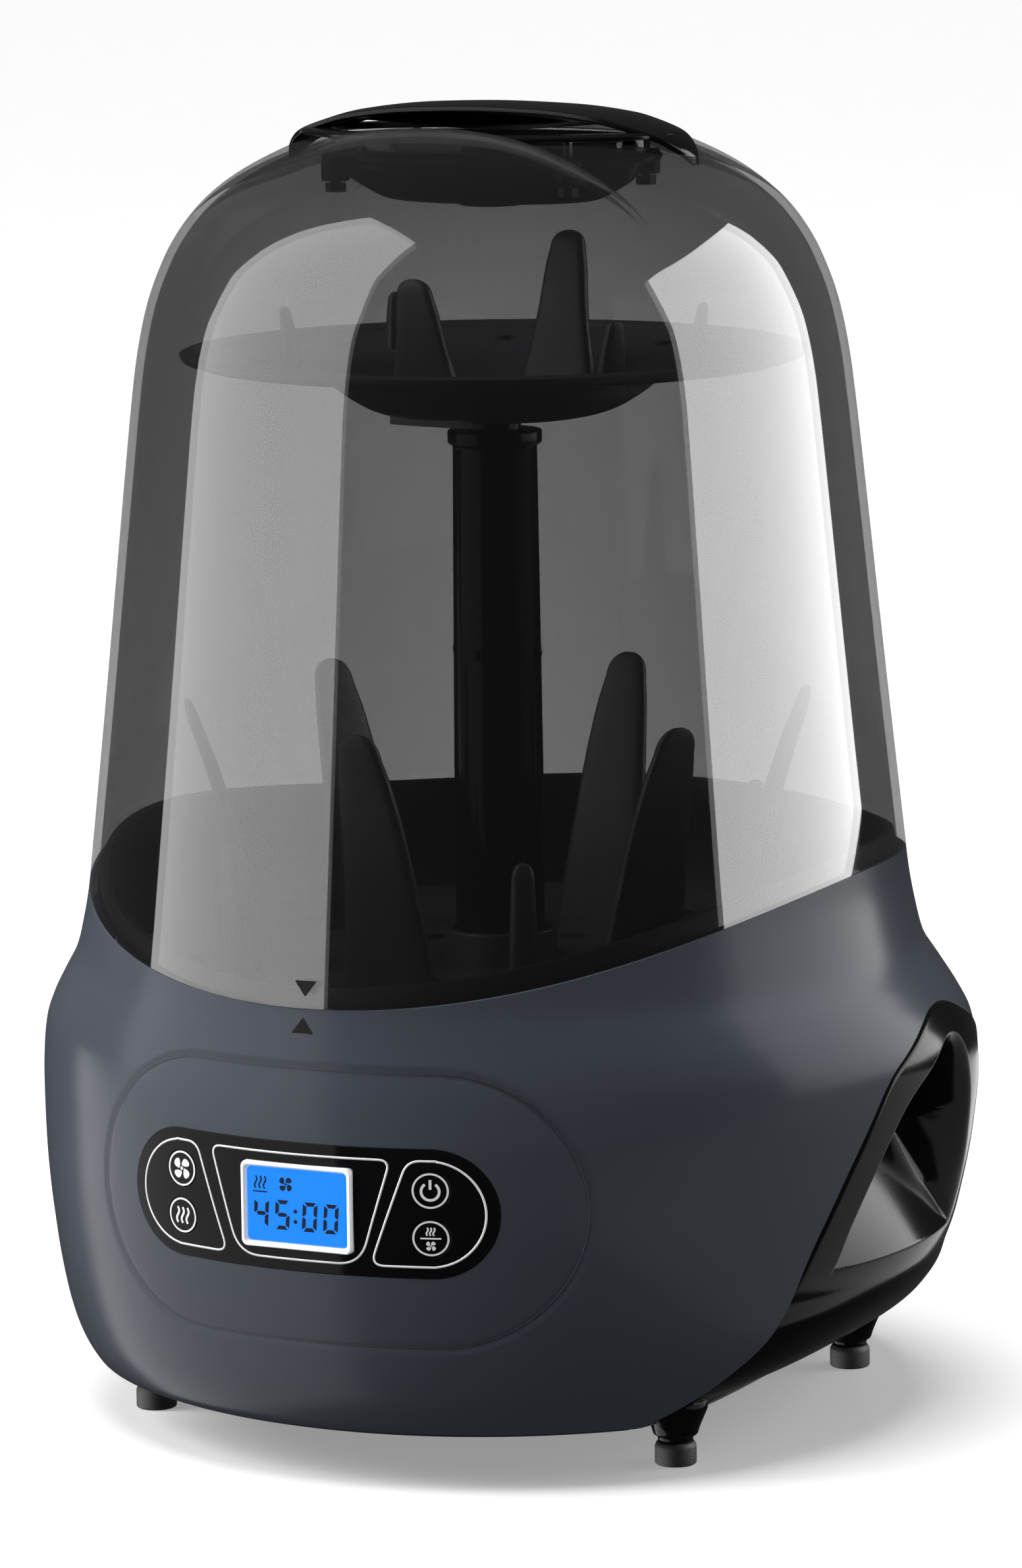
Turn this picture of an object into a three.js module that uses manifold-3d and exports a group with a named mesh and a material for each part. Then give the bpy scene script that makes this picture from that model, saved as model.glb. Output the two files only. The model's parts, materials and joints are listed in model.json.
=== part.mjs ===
import * as THREE from "three";
import { mergeVertices } from "three/addons/utils/BufferGeometryUtils.js";
import Module from "manifold-3d";

const wasm = await Module();
wasm.setup();

// ---------------------------------------------------------------------------
// Driving dimensions, millimetres. Front is -Y, +Z is up, the feet stand on z = 0.
// ---------------------------------------------------------------------------
const SEG = 36;                 // facets around the big oval shells
const FACET_TOLERANCE = 0.16;   // facets flatter than this are merged
const DEPTH_RATIO = 1.056;      // cover depth over cover width
const COVER_HALF = 121.8;       // cover half-width at the seam
const COVER_TAPER = 0.109;       // the cover narrows by this much per mm of height
const COVER_WALL = 2.5;
const HOUSING_WALL = 2.8;
const HOUSING_FOOT = 16.5;      // lower edge of the coloured housing
const GAP = 0.35;               // clearance between neighbouring pieces
const PANEL_Z = 83.2;           // height of the control panel centre
const PILL_HALF = 59;
const PILL_RADIUS = 19;
const KEY_X = 40;
const KEY_DZ = 6.9;
const KEY_RADIUS = 5.4;
const KEY_TRAVEL = 0.8;
const ARCH_Y = 16;              // the side arches are centred a little behind the middle
const FOOT_X = 86;
const FOOT_Y = 64.5;
const PLATE_RADIUS = 56;        // heating plate
const TRAY_Z = 294;             // underside of the accessory tray
const RACK_Z = 127.3;           // underside of the bottle rack
const FAN_X = -18;
const FAN_Y = 60;
const DUCT_X = 24;
const DUCT_Y = 80;
const POST = [62, 82];          // basin posts that take the base screws
const LID_SCREW = [38, 27];

// Outline of the base: height, half-width, half-depth, roundness exponent, and how far
// the widest point sits behind the middle.
const BODY = [
  [13.8, 116, 119, 2, 0], [16.5, 124, 125.5, 2, 0], [20, 127.2, 127.6, 2, 0],
  [28, 130.5, 130.5, 2, 0], [42, 134, 133, 2, 0], [60, 137, 134.8, 2, 0.004],
  [83, 140.8, 135.7, 2, 0.03], [100, 142, 135.5, 2, 0.042], [109, 141.7, 134.8, 2, 0.042],
  [116, 140.6, 134, 2, 0.038], [123, 137.3, 133, 2, 0.026], [131, 132, 131.8, 2, 0.012],
  [139, 126.6, 130.7, 2, 0], [147, 124.2, 129.9, 2, 0], [158.8, 121.8, 128.65, 2, 0],
  [172, 120.3, 127.1, 2, 0],
];

// Outline of the black side grips: like the base, tucked under below mid-height.
const UNDER = [
  [17, 94, 121, 3.6, 0], [20, 99, 123, 3.3, 0], [24, 108, 125, 2.9, 0], [28, 114.5, 127, 2.7, 0],
  [35, 123, 130, 2.35, 0], [42, 129.2, 132, 2.15, 0], [50, 133.7, 133.7, 2, 0],
  ...BODY.slice(5),
];

// Crown of the cover: height, half-width.
const CROWN = [
  [298, 107], [314, 105], [330, 101.8], [345, 96.3], [353, 91.8], [361, 85.4],
  [369, 76], [376.7, 62.5], [382.6, 48], [386.6, 30], [388.6, 10],
];

// Side arch: half-width along Y, height.
const ARCH = [
  [0, 126], [9, 125], [22, 120.5], [33, 115.6], [42, 110], [56.5, 91], [69.5, 68], [80.7, 41],
  [91.5, 29.8], [101, 21.5], [107, 16],
];

// Hand opening in the side grip: Y, height.
const HOLE = [
  [12, 112.5], [3, 111], [-6, 107.5], [-19, 99.5], [-34, 80], [-45, 60], [-47, 54], [27, 54],
  [27, 62], [25, 86], [21, 104], [17, 110.5],
];

// ---------------------------------------------------------------------------
// Helpers
// ---------------------------------------------------------------------------
const group = new THREE.Group();
group.name = "bottle_sterilizer";

const LOOKS = {
  slate: { color: 0x555963, roughness: 0.22, metalness: 0 },
  black: { color: 0x0b0b0c, roughness: 0.16, metalness: 0 },
  dark: { color: 0x2a2b2d, roughness: 0.45, metalness: 0 },
  smoke: { color: 0x3a3b3d, roughness: 0.04, metalness: 0, transparent: true, opacity: 0.35 },
  rack: { color: 0x4a4b4d, roughness: 0.5, metalness: 0 },
  steel: { color: 0xc9cbce, roughness: 0.3, metalness: 1 },
  silver: { color: 0xd0d2d5, roughness: 0.28, metalness: 1 },
  rubber: { color: 0x161616, roughness: 0.85, metalness: 0 },
  silicone: { color: 0x8d8f92, roughness: 0.7, metalness: 0 },
  blue: { color: 0x008cff, roughness: 0.1, metalness: 0 },
  board: { color: 0x1d5a34, roughness: 0.5, metalness: 0 },
  foam: { color: 0xd9d9d4, roughness: 0.95, metalness: 0 },
};

function addPiece(name, solid, look) {
  const mesh = solid.asOriginal().simplify(FACET_TOLERANCE).getMesh();
  const geometry = new THREE.BufferGeometry();
  geometry.setAttribute("position", new THREE.BufferAttribute(mesh.vertProperties, 3));
  geometry.setIndex(new THREE.BufferAttribute(mesh.triVerts, 1));
  geometry.computeVertexNormals();
  const piece = new THREE.Mesh(geometry, new THREE.MeshStandardMaterial(LOOKS[look]));
  piece.name = name;
  group.add(piece);
}

function toSolid(geometry) {
  let g = geometry.index ? geometry : mergeVertices(geometry);
  g = g.clone();
  g.deleteAttribute("normal");
  g.deleteAttribute("uv");
  g = mergeVertices(g, 1e-4);
  const mesh = new wasm.Mesh({
    numProp: 3,
    vertProperties: new Float32Array(g.attributes.position.array),
    triVerts: new Uint32Array(g.index.array),
  });
  return new wasm.Manifold(mesh);
}

function fromFaces(points, faces) {
  let volume = 0;
  for (const [a, b, c] of faces) {
    const [p, q, r] = [points[a], points[b], points[c]];
    volume += p[0] * (q[1] * r[2] - q[2] * r[1]);
    volume += p[1] * (q[2] * r[0] - q[0] * r[2]);
    volume += p[2] * (q[0] * r[1] - q[1] * r[0]);
  }
  const order = volume < 0 ? faces.map(([a, b, c]) => [a, c, b]) : faces;
  const mesh = new wasm.Mesh({
    numProp: 3,
    vertProperties: new Float32Array(points.flat()),
    triVerts: new Uint32Array(order.flat()),
  });
  return new wasm.Manifold(mesh);
}

// Skin a stack of equal loops; a ring section joins the last loop to the first.
function skin(loops, ring = false) {
  const n = loops[0].length;
  const points = loops.flat();
  const faces = [];
  const last = ring ? loops.length : loops.length - 1;
  for (let i = 0; i < last; i += 1) {
    const a = i * n;
    const b = ((i + 1) % loops.length) * n;
    for (let j = 0; j < n; j += 1) {
      const k = (j + 1) % n;
      faces.push([a + j, a + k, b + k], [a + j, b + k, b + j]);
    }
  }
  if (!ring) {
    for (const [start, flip] of [[0, true], [(loops.length - 1) * n, false]]) {
      const centre = [0, 0, 0];
      for (let j = 0; j < n; j += 1) {
        for (let c = 0; c < 3; c += 1) centre[c] += points[start + j][c] / n;
      }
      points.push(centre);
      const hub = points.length - 1;
      for (let j = 0; j < n; j += 1) {
        const k = start + (j + 1) % n;
        faces.push(flip ? [hub, k, start + j] : [hub, start + j, k]);
      }
    }
  }
  return fromFaces(points, faces);
}

function table(rows, key, column) {
  if (key <= rows[0][0]) return rows[0][column];
  for (let i = 1; i < rows.length; i += 1) {
    if (key <= rows[i][0]) {
      const t = (key - rows[i - 1][0]) / (rows[i][0] - rows[i - 1][0]);
      return rows[i - 1][column] + t * (rows[i][column] - rows[i - 1][column]);
    }
  }
  return rows[rows.length - 1][column];
}

// Height of the seam between cover and base; angle runs from the front (-Y) towards +X.
function seam(angle) {
  const c = [1, 2, 3, 4].map((k) => Math.cos(k * angle));
  return 158.8 - 9.7 * c[0] - 7.65 * c[1] - 2.5 * c[2] + 0.96 * c[3];
}

function ovalPoint(angle, a, b, n, z, back = 0) {
  const s = Math.sin(angle);
  const c = Math.cos(angle);
  const x = a * Math.sign(s) * Math.abs(s) ** (2 / n) * (1 - back * c);
  const y = -b * Math.sign(c) * Math.abs(c) ** (2 / n);
  return [x, y, z];
}

function oval(a, b, z, n = 2, count = SEG) {
  const loop = [];
  for (let i = 0; i < count; i += 1) loop.push(ovalPoint((2 * Math.PI * i) / count, a, b, n, z));
  return loop;
}

function bodyLoop(heightAt, offset, rows = BODY) {
  const loop = [];
  for (let i = 0; i < SEG; i += 1) {
    const angle = (2 * Math.PI * i) / SEG;
    const z = heightAt(angle);
    const a = table(rows, z, 1) - offset;
    const b = table(rows, z, 2) - offset;
    loop.push(ovalPoint(angle, a, b, table(rows, z, 3), z, table(rows, z, 4)));
  }
  return loop;
}

function bodySolid(offset, low, high, rows = BODY) {
  const loops = [bodyLoop(() => low, offset, rows)];
  for (const row of rows) {
    if (row[0] > low + 1 && row[0] < high - 1) loops.push(bodyLoop(() => row[0], offset, rows));
  }
  loops.push(bodyLoop(() => high, offset, rows));
  return skin(loops);
}

function box(x0, x1, y0, y1, z0, z1) {
  const g = new THREE.BoxGeometry(x1 - x0, y1 - y0, z1 - z0);
  g.translate((x0 + x1) / 2, (y0 + y1) / 2, (z0 + z1) / 2);
  return toSolid(g);
}

// Turned piece about a vertical axis: closed list of [radius, height] points.
function turned(profile, x = 0, y = 0, count = 20) {
  const closed = profile.map(([r, z]) => new THREE.Vector2(r, z));
  closed.push(closed[0].clone());
  const g = new THREE.LatheGeometry(closed, count);
  g.rotateX(Math.PI / 2);
  g.translate(x, y, 0);
  g.deleteAttribute("normal");
  g.deleteAttribute("uv");
  const merged = mergeVertices(g, 1e-4);
  const pos = merged.attributes.position;
  const points = [];
  for (let i = 0; i < pos.count; i += 1) points.push([pos.getX(i), pos.getY(i), pos.getZ(i)]);
  const faces = [];
  const index = merged.index.array;
  for (let i = 0; i < index.length; i += 3) {
    const f = [index[i], index[i + 1], index[i + 2]];
    if (f[0] !== f[1] && f[1] !== f[2] && f[0] !== f[2]) faces.push(f);
  }
  return fromFaces(points, faces);
}

function rod(radius, z0, z1, x = 0, y = 0, count = 14) {
  return turned([[0, z0], [radius, z0], [radius, z1], [0, z1]], x, y, count);
}

function tube(outer, inner, z0, z1, x = 0, y = 0, count = 18) {
  return turned([[inner, z0], [outer, z0], [outer, z1], [inner, z1]], x, y, count);
}

// Prism along Y from an outline of [x, z]; along X from an outline of [y, z].
function prismY(outline, y0, y1) {
  return skin([outline.map(([x, z]) => [x, y0, z]), outline.map(([x, z]) => [x, y1, z])]);
}

function prismX(outline, x0, x1) {
  return skin([outline.map(([y, z]) => [x0, y, z]), outline.map(([y, z]) => [x1, y, z])]);
}

function stadium(half, radius, cz, count = 16) {
  const outline = [];
  for (const side of [1, -1]) {
    for (let i = 0; i <= count; i += 1) {
      const t = -Math.PI / 2 + (Math.PI * i) / count;
      outline.push([side * (half - radius + radius * Math.cos(t)), cz + side * radius * Math.sin(t)]);
    }
  }
  return outline;
}

function disc(cx, cz, radius, count = 12) {
  const outline = [];
  for (let i = 0; i < count; i += 1) {
    const t = (2 * Math.PI * i) / count;
    outline.push([cx + radius * Math.cos(t), cz + radius * Math.sin(t)]);
  }
  return outline;
}

function mirrored(rows, centre, grow, floor) {
  const right = rows.map(([w, z]) => [centre + (w === 0 ? 0 : w + grow), z + grow]);
  const left = rows.slice(1).reverse().map(([w, z]) => [centre - w - grow, z + grow]);
  const widest = rows[rows.length - 1][0] + grow;
  return [...right, [centre + widest, floor], [centre - widest, floor], ...left];
}

function unite(list) {
  return list.reduce((sum, item) => sum.add(item));
}

function cut(solid, list) {
  return list.reduce((rest, item) => rest.subtract(item), solid);
}

// ---------------------------------------------------------------------------
// Cover: smoke dome with the hollow for the carrying handle
// ---------------------------------------------------------------------------
const COVER = [];
for (const z of [230]) COVER.push([z, COVER_HALF - COVER_TAPER * (z - 158.8)]);
COVER.push(...CROWN);

function crownHeight(x, y) {
  const r = Math.hypot(x, y / DEPTH_RATIO);
  for (let i = 1; i < CROWN.length; i += 1) {
    if (r >= CROWN[i][1]) {
      const t = (r - CROWN[i][1]) / (CROWN[i - 1][1] - CROWN[i][1]);
      return CROWN[i][0] + t * (CROWN[i - 1][0] - CROWN[i][0]);
    }
  }
  return 389;
}

function coverSolid(wall, drop) {
  const start = [];
  for (let i = 0; i < SEG; i += 1) {
    const angle = (2 * Math.PI * i) / SEG;
    const z = seam(angle) + GAP / 2 - drop;
    const a = COVER_HALF - COVER_TAPER * (z - 158.8) - wall;
    const b = (a + wall) * DEPTH_RATIO - wall;
    start.push(ovalPoint(angle, a, b, 2, z));
  }
  const loops = [start];
  for (let i = 0; i < COVER.length; i += 1) {
    const before = COVER[Math.max(i - 1, 0)];
    const after = i + 1 < COVER.length ? COVER[i + 1] : [389, 0];
    const dz = after[0] - before[0];
    const dr = before[1] - after[1];
    const size = Math.hypot(dz, dr);
    const a = COVER[i][1] - (wall * dz) / size;
    const b = COVER[i][1] * DEPTH_RATIO - (wall * dz) / size;
    loops.push(oval(a, b, COVER[i][0] - (wall * dr) / size));
  }
  return skin(loops);
}

// Hollow between the two creases that run across the crown.
const HOLLOW_X = 78;
function creaseY(x) {
  return 43 + 7 * (x / 75) ** 2;
}

function hollow(grow, drop) {
  const nx = 12;
  const ny = 4;
  const points = [];
  for (const top of [false, true]) {
    for (let i = 0; i <= nx; i += 1) {
      const x = (HOLLOW_X + grow) * (-1 + (2 * i) / nx);
      const fade = Math.min(1, Math.max(0, (HOLLOW_X - Math.abs(x)) / 30));
      for (let j = 0; j <= ny; j += 1) {
        const side = -1 + (2 * j) / ny;
        const y = side * (creaseY(x) + grow);
        const step = 4.8 * fade * Math.abs(side) ** 1.5 - 0.2;
        const z = Math.min(379.7, crownHeight(x, y) - step) - drop;
        points.push([x, y, top ? 402 : z]);
      }
    }
  }
  const faces = [];
  const row = ny + 1;
  const layer = (nx + 1) * row;
  for (let i = 0; i < nx; i += 1) {
    for (let j = 0; j < ny; j += 1) {
      const a = i * row + j;
      faces.push([a, a + row + 1, a + row], [a, a + 1, a + row + 1]);
      faces.push([layer + a, layer + a + row, layer + a + row + 1]);
      faces.push([layer + a, layer + a + row + 1, layer + a + 1]);
    }
  }
  const rim = [];
  for (let i = 0; i <= nx; i += 1) rim.push(i * row);
  for (let j = 1; j <= ny; j += 1) rim.push(nx * row + j);
  for (let i = nx - 1; i >= 0; i -= 1) rim.push(i * row + ny);
  for (let j = ny - 1; j >= 1; j -= 1) rim.push(j);
  for (let k = 0; k < rim.length; k += 1) {
    const a = rim[k];
    const b = rim[(k + 1) % rim.length];
    faces.push([a, b, layer + b], [a, layer + b, layer + a]);
  }
  return fromFaces(points, faces);
}

const screwSpots = [[1, -1], [-1, -1], [-1, 1], [1, 1]];
const cupHole = skin([oval(50, 31, 370, 2, 20), oval(50, 31, 395, 2, 20)]);
const coverInside = coverSolid(COVER_WALL, 20).subtract(hollow(COVER_WALL, COVER_WALL));
let cover = cut(coverSolid(0, 0), [hollow(0, 0), coverInside, cupHole]);
for (const [sx, sy] of screwSpots) {
  cover = cover.subtract(rod(1.9, 370, 385, sx * LID_SCREW[0], sy * LID_SCREW[1], 8));
}
addPiece("dome_cover", cover, "smoke");

// ---------------------------------------------------------------------------
// Carrying handle: strap over an oval flange, finger cup hung below it
// ---------------------------------------------------------------------------
const STRAP = [
  [-67, 377.2], [-60, 381.4], [-50, 385], [-41, 387.3], [-20, 389.5], [0, 390],
  [20, 389.5], [41, 387.3], [50, 385], [60, 381.4], [67, 377.2],
];
const strapLoops = [];
for (const [x, z] of STRAP) {
  const half = 15 * (1 - 0.55 * (x / 67) ** 6);
  const belly = Math.max(0, 1 - (x / 44) ** 2);
  const edge = z - 1;
  strapLoops.push([
    [x, -half, edge], [x, -half * 0.5, z - 0.25], [x, 0, z], [x, half * 0.5, z - 0.25], [x, half, edge],
    [x, half, edge - 1.9], [x, half * 0.6, z - 2.6 - 3.6 * belly], [x, 0, z - 2.6 - 6.4 * belly],
    [x, -half * 0.6, z - 2.6 - 3.6 * belly], [x, -half, edge - 1.9],
  ]);
}
const flange = skin([
  oval(60, 38, 380.05, 2, 20), oval(60, 38, 381.4, 2, 20), oval(58.5, 36.5, 382, 2, 20),
  oval(51, 32, 382, 2, 20), oval(50, 31, 380.05, 2, 20),
], true);
let strap = skin(strapLoops).subtract(coverSolid(-GAP, -GAP).subtract(hollow(-GAP, -GAP)));
strap = strap.add(flange);
for (const [sx, sy] of screwSpots) {
  strap = strap.subtract(rod(1.6, 379, 381.5, sx * LID_SCREW[0], sy * LID_SCREW[1], 8));
}
addPiece("lid_handle", strap, "black");

let cup = skin([
  oval(49.6, 30.6, 379.7, 2, 20), oval(49.6, 30.6, 375, 2, 20),
  oval(53.5, 35, 375, 2, 20), oval(53.5, 35, 373, 2, 20), oval(49, 31.5, 373, 2, 20),
  oval(45, 27, 367, 2, 20), oval(34, 18, 361, 2, 20), oval(22, 10, 360, 2, 20),
  oval(22, 10, 362, 2, 20), oval(33, 17, 363, 2, 20), oval(43, 25, 368.6, 2, 20),
  oval(48, 29.2, 375, 2, 20), oval(48, 29.2, 379.7, 2, 20),
], true);
cup = cup.add(skin([oval(23, 11, 360, 2, 20), oval(23, 11, 362, 2, 20)]));
cup = cup.add(tube(9.5, 7.5, 359.2, 361));
for (const [sx, sy] of screwSpots) {
  cup = cup.add(rod(4.2, 367.2, 375, sx * LID_SCREW[0], sy * LID_SCREW[1], 10));
}
for (const [sx, sy] of screwSpots) {
  cup = cup.subtract(rod(1.9, 360, 378, sx * LID_SCREW[0], sy * LID_SCREW[1], 8));
}
for (let i = 0; i < 6; i += 1) {
  const t = (Math.PI * i) / 3;
  cup = cup.subtract(rod(1.5, 355, 365, 4.6 * Math.cos(t), 4.6 * Math.sin(t), 6));
}
addPiece("handle_cup", cup, "black");

screwSpots.forEach(([sx, sy], i) => {
  const screw = turned([
    [0, 364.2], [3.2, 364.2], [3.2, 366.8], [1.4, 366.8], [1.4, 381], [0, 381],
  ], sx * LID_SCREW[0], sy * LID_SCREW[1], 8);
  addPiece(`lid_screw_${i + 1}`, screw, "steel");
});

// ---------------------------------------------------------------------------
// Accessory tray: dish with steam holes and pegs
// ---------------------------------------------------------------------------
// Peg standing on a radius: rows of [height, radius from the centre, half-width, half-thickness].
function peg(angle, rows) {
  const loops = rows.map(([z, radius, half, thick]) => {
    const loop = [];
    for (let i = 0; i < 6; i += 1) {
      const t = (Math.PI * i) / 3;
      const along = half * Math.sign(Math.cos(t)) * Math.abs(Math.cos(t)) ** 0.6;
      const out = radius + thick * Math.sign(Math.sin(t)) * Math.abs(Math.sin(t)) ** 0.6;
      loop.push([
        out * Math.sin(angle) + along * Math.cos(angle),
        -out * Math.cos(angle) + along * Math.sin(angle),
        z,
      ]);
    }
    return loop;
  });
  return skin(loops);
}

let tray = turned([
  [0, TRAY_Z], [27, TRAY_Z], [38, TRAY_Z + 2.6], [47, TRAY_Z + 8], [53, TRAY_Z + 12.5],
  [91, TRAY_Z + 17], [92.5, TRAY_Z + 18.4], [92.5, TRAY_Z + 21], [90, TRAY_Z + 21],
  [89, TRAY_Z + 19.3], [51.6, TRAY_Z + 14.8], [45, TRAY_Z + 9.8], [36.5, TRAY_Z + 5],
  [26, TRAY_Z + 2.4], [0, TRAY_Z + 2.4],
], 0, 0, 24);
tray = tray.add(rod(12, TRAY_Z, TRAY_Z + 12));
tray = tray.subtract(turned([
  [0, TRAY_Z - 1], [8.4, TRAY_Z - 1], [8.1, TRAY_Z + 9.5], [0, TRAY_Z + 9.5],
], 0, 0, 14));
for (let i = 0; i < 8; i += 1) {
  const t = (Math.PI * (i + 0.5)) / 4;
  tray = tray.subtract(rod(3, TRAY_Z - 1, TRAY_Z + 4, 19.5 * Math.cos(t), 19.5 * Math.sin(t), 6));
}
for (let i = 0; i < 8; i += 1) {
  const t = (Math.PI * (i + 0.5)) / 4;
  tray = tray.subtract(rod(4, TRAY_Z + 10, TRAY_Z + 24, 70 * Math.cos(t), 70 * Math.sin(t), 6));
}
for (const [angle, top] of [[-0.18, 46], [2.96, 55]]) {
  tray = tray.add(peg(angle, [
    [TRAY_Z + 1.2, 31, 15, 2.6], [TRAY_Z + 9, 32.5, 13.5, 2.4], [TRAY_Z + top * 0.55, 35.5, 9, 2.1],
    [TRAY_Z + top - 4, 38.4, 6.2, 1.9], [TRAY_Z + top, 39.3, 2.4, 0.9],
  ]));
}
for (const angle of [1.05, 2.1, -1.25, -2.2]) {
  tray = tray.add(peg(angle, [
    [TRAY_Z + 14.5, 60, 5, 2.4], [TRAY_Z + 33, 62.5, 2.8, 1.7], [TRAY_Z + 35, 63, 1.4, 0.9],
  ]));
}
addPiece("accessory_tray", tray, "rack");

// ---------------------------------------------------------------------------
// Bottle rack and the centre column
// ---------------------------------------------------------------------------
let rack = skin([
  oval(113.2, 121.9, RACK_Z), oval(113.2, 121.9, RACK_Z + 5), oval(110.8, 119.5, RACK_Z + 5),
  oval(109, 117.5, RACK_Z + 2.6), oval(17, 17, RACK_Z + 2.6), oval(13.9, 13.9, RACK_Z + 2.6),
  oval(13.9, 13.9, RACK_Z),
], true);
rack = rack.add(tube(16.8, 13.9, RACK_Z, RACK_Z + 15));
for (let i = 0; i < 6; i += 1) {
  const at = (Math.PI * i) / 3;
  for (const [radius, half, width] of [[42, 10, 3.6], [92, 22, 3.6]]) {
    const slot = box(-half, half, -radius - width, -radius + width, RACK_Z - 2, RACK_Z + 4);
    rack = rack.subtract(slot.rotate([0, 0, (at * 180) / Math.PI]));
  }
}
for (let i = 0; i < 6; i += 1) {
  const at = (Math.PI * i) / 3;
  rack = rack.add(peg(at, [
    [RACK_Z + 1.3, 72, 16, 3], [RACK_Z + 36, 78, 12, 2.4], [RACK_Z + 68, 87, 8.6, 2],
    [RACK_Z + 82, 92, 6, 1.8], [RACK_Z + 86, 93.2, 2.6, 1],
  ]));
  rack = rack.add(peg(at + Math.PI / 6, [
    [RACK_Z + 1.3, 93, 4.4, 3.4], [RACK_Z + 45, 95, 3.4, 2.4], [RACK_Z + 50, 95.4, 1.8, 1.3],
  ]));
}
addPiece("bottle_rack", rack, "rack");

const COLUMN_TOP = TRAY_Z - 1.6;
let column = turned([
  [11.4, RACK_Z + 3], [13.4, RACK_Z + 3], [13.4, 190], [12.6, COLUMN_TOP - 4.4],
  [14.2, COLUMN_TOP - 4], [14.2, COLUMN_TOP], [7.9, COLUMN_TOP], [7.6, COLUMN_TOP + 9],
  [5, COLUMN_TOP + 10], [5, COLUMN_TOP - 3], [10.6, COLUMN_TOP - 6], [11.4, 190],
], 0, 0, 16);
for (let i = 0; i < 4; i += 1) {
  const t = (Math.PI * i) / 2;
  const ball = new THREE.SphereGeometry(1.7, 8, 6);
  ball.translate(13.1 * Math.cos(t), 13.1 * Math.sin(t), 226);
  column = column.add(toSolid(ball));
}
addPiece("centre_column", column, "black");

// ---------------------------------------------------------------------------
// Upper housing: coloured shell with side arches, panel seat and rear openings
// ---------------------------------------------------------------------------
function housingLoops(offset) {
  const loops = [];
  for (const z of [HOUSING_FOOT, 20, 28, 42, 60, 83, 100, 109, 116, 123, 131]) {
    loops.push(bodyLoop(() => z, offset));
  }
  for (const s of [0.4, 1]) {
    loops.push(bodyLoop((angle) => 131 + s * (seam(angle) - GAP / 2 - 131), offset));
  }
  return loops;
}

const FILTER = [-42, 42, 40, 86];     // rear cover: x0, x1, z0, z1
const INLET = [-62, 50];              // power inlet: centre x and z
let housing = skin([...housingLoops(0), ...housingLoops(HOUSING_WALL).reverse()], true);
const archRight = prismX(mirrored(ARCH, ARCH_Y, 0, 0), 40, 170);
const archLeft = prismX(mirrored(ARCH, ARCH_Y, 0, 0), -170, -40);
housing = cut(housing, [
  archRight,
  archLeft,
  prismY(stadium(PILL_HALF, PILL_RADIUS, PANEL_Z, 9), -150, -100),
  box(FILTER[0], FILTER[1], 100, 150, FILTER[2], FILTER[3]),
  box(INLET[0] - 12, INLET[0] + 12, 80, 140, INLET[1] - 9, INLET[1] + 9),
]);
const stadiumRing = prismY(stadium(77, 40, 83.4, 8), -150, -60)
  .subtract(prismY(stadium(76.2, 39.2, 83.4, 8), -151, -59))
  .translate([4, 0, 0])
  .subtract(bodySolid(0.9, 18, 150));
housing = housing.subtract(stadiumRing);
addPiece("upper_housing", housing, "slate");

// ---------------------------------------------------------------------------
// Side grips: black panels in the arches with a hand scoop
// ---------------------------------------------------------------------------
function grow(outline, by) {
  const n = outline.length;
  return outline.map(([u, v], i) => {
    const [pu, pv] = outline[(i + n - 1) % n];
    const [nu, nv] = outline[(i + 1) % n];
    const size = Math.hypot(nu - pu, nv - pv);
    return [u - (by * (nv - pv)) / size, v + (by * (nu - pu)) / size];
  });
}

function gripArch(side, by, floor = 17) {
  const outline = mirrored(ARCH.slice(0, -1), ARCH_Y, by, floor);
  return prismX(outline, side > 0 ? 40 : -170, side > 0 ? 170 : -40);
}

function handScoop(side, by) {
  const back = 114 - by;
  const wedge = [[back, 118], [155, 118], [155, 56 - by], [136, 56 - by], [back + 3, 92 - by]];
  const opening = grow(HOLE, -by);
  return prismY(wedge.map(([x, z]) => [side * x, z]), -70, 60)
    .intersect(prismX(opening, side > 0 ? 60 : -170, side > 0 ? 170 : -60));
}

function sideGrip(side) {
  const outer = bodySolid(-0.6, 17, 128, UNDER);
  const inner = bodySolid(2.6, 12, 127, UNDER);
  const liner = handScoop(side, 2.4).intersect(outer);
  const legRoom = [-1, 1].map((sy) => rod(10, 10, 20.5, side * FOOT_X, sy * FOOT_Y, 12));
  const panel = outer.subtract(inner).intersect(gripArch(side, -GAP)).add(liner);
  return cut(panel, [handScoop(side, 0), ...legRoom]);
}

addPiece("side_grip_right", sideGrip(1), "black");
addPiece("side_grip_left", sideGrip(-1), "black");

// ---------------------------------------------------------------------------
// Base pan, legs, pads and screws
// ---------------------------------------------------------------------------
const PAN_TOP = 23;
let pan = skin([
  bodyLoop(() => 20, 10), bodyLoop(() => 20, 6.4), bodyLoop(() => 14.3, 3.6),
  bodyLoop(() => 14.3, 0.8), bodyLoop(() => HOUSING_FOOT - GAP, 0.4),
  bodyLoop(() => HOUSING_FOOT - GAP, 3.6), bodyLoop(() => PAN_TOP, 4), bodyLoop(() => PAN_TOP, 12),
]);
const gripLining = bodySolid(3, 10, 40, UNDER);
for (const side of [1, -1]) {
  pan = pan.subtract(gripArch(side, GAP, 10).subtract(gripLining));
}
for (const [sx, sy] of screwSpots) {
  pan = pan.subtract(rod(2.1, 10, 30, sx * POST[0], sy * POST[1], 8));
}
for (let i = -3; i <= 3; i += 1) {
  pan = pan.subtract(box(i * 9 - 2.2 + FAN_X, i * 9 + 2.2 + FAN_X, FAN_Y - 24, FAN_Y + 12, 10, 30));
}
addPiece("base_pan", pan, "black");

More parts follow.
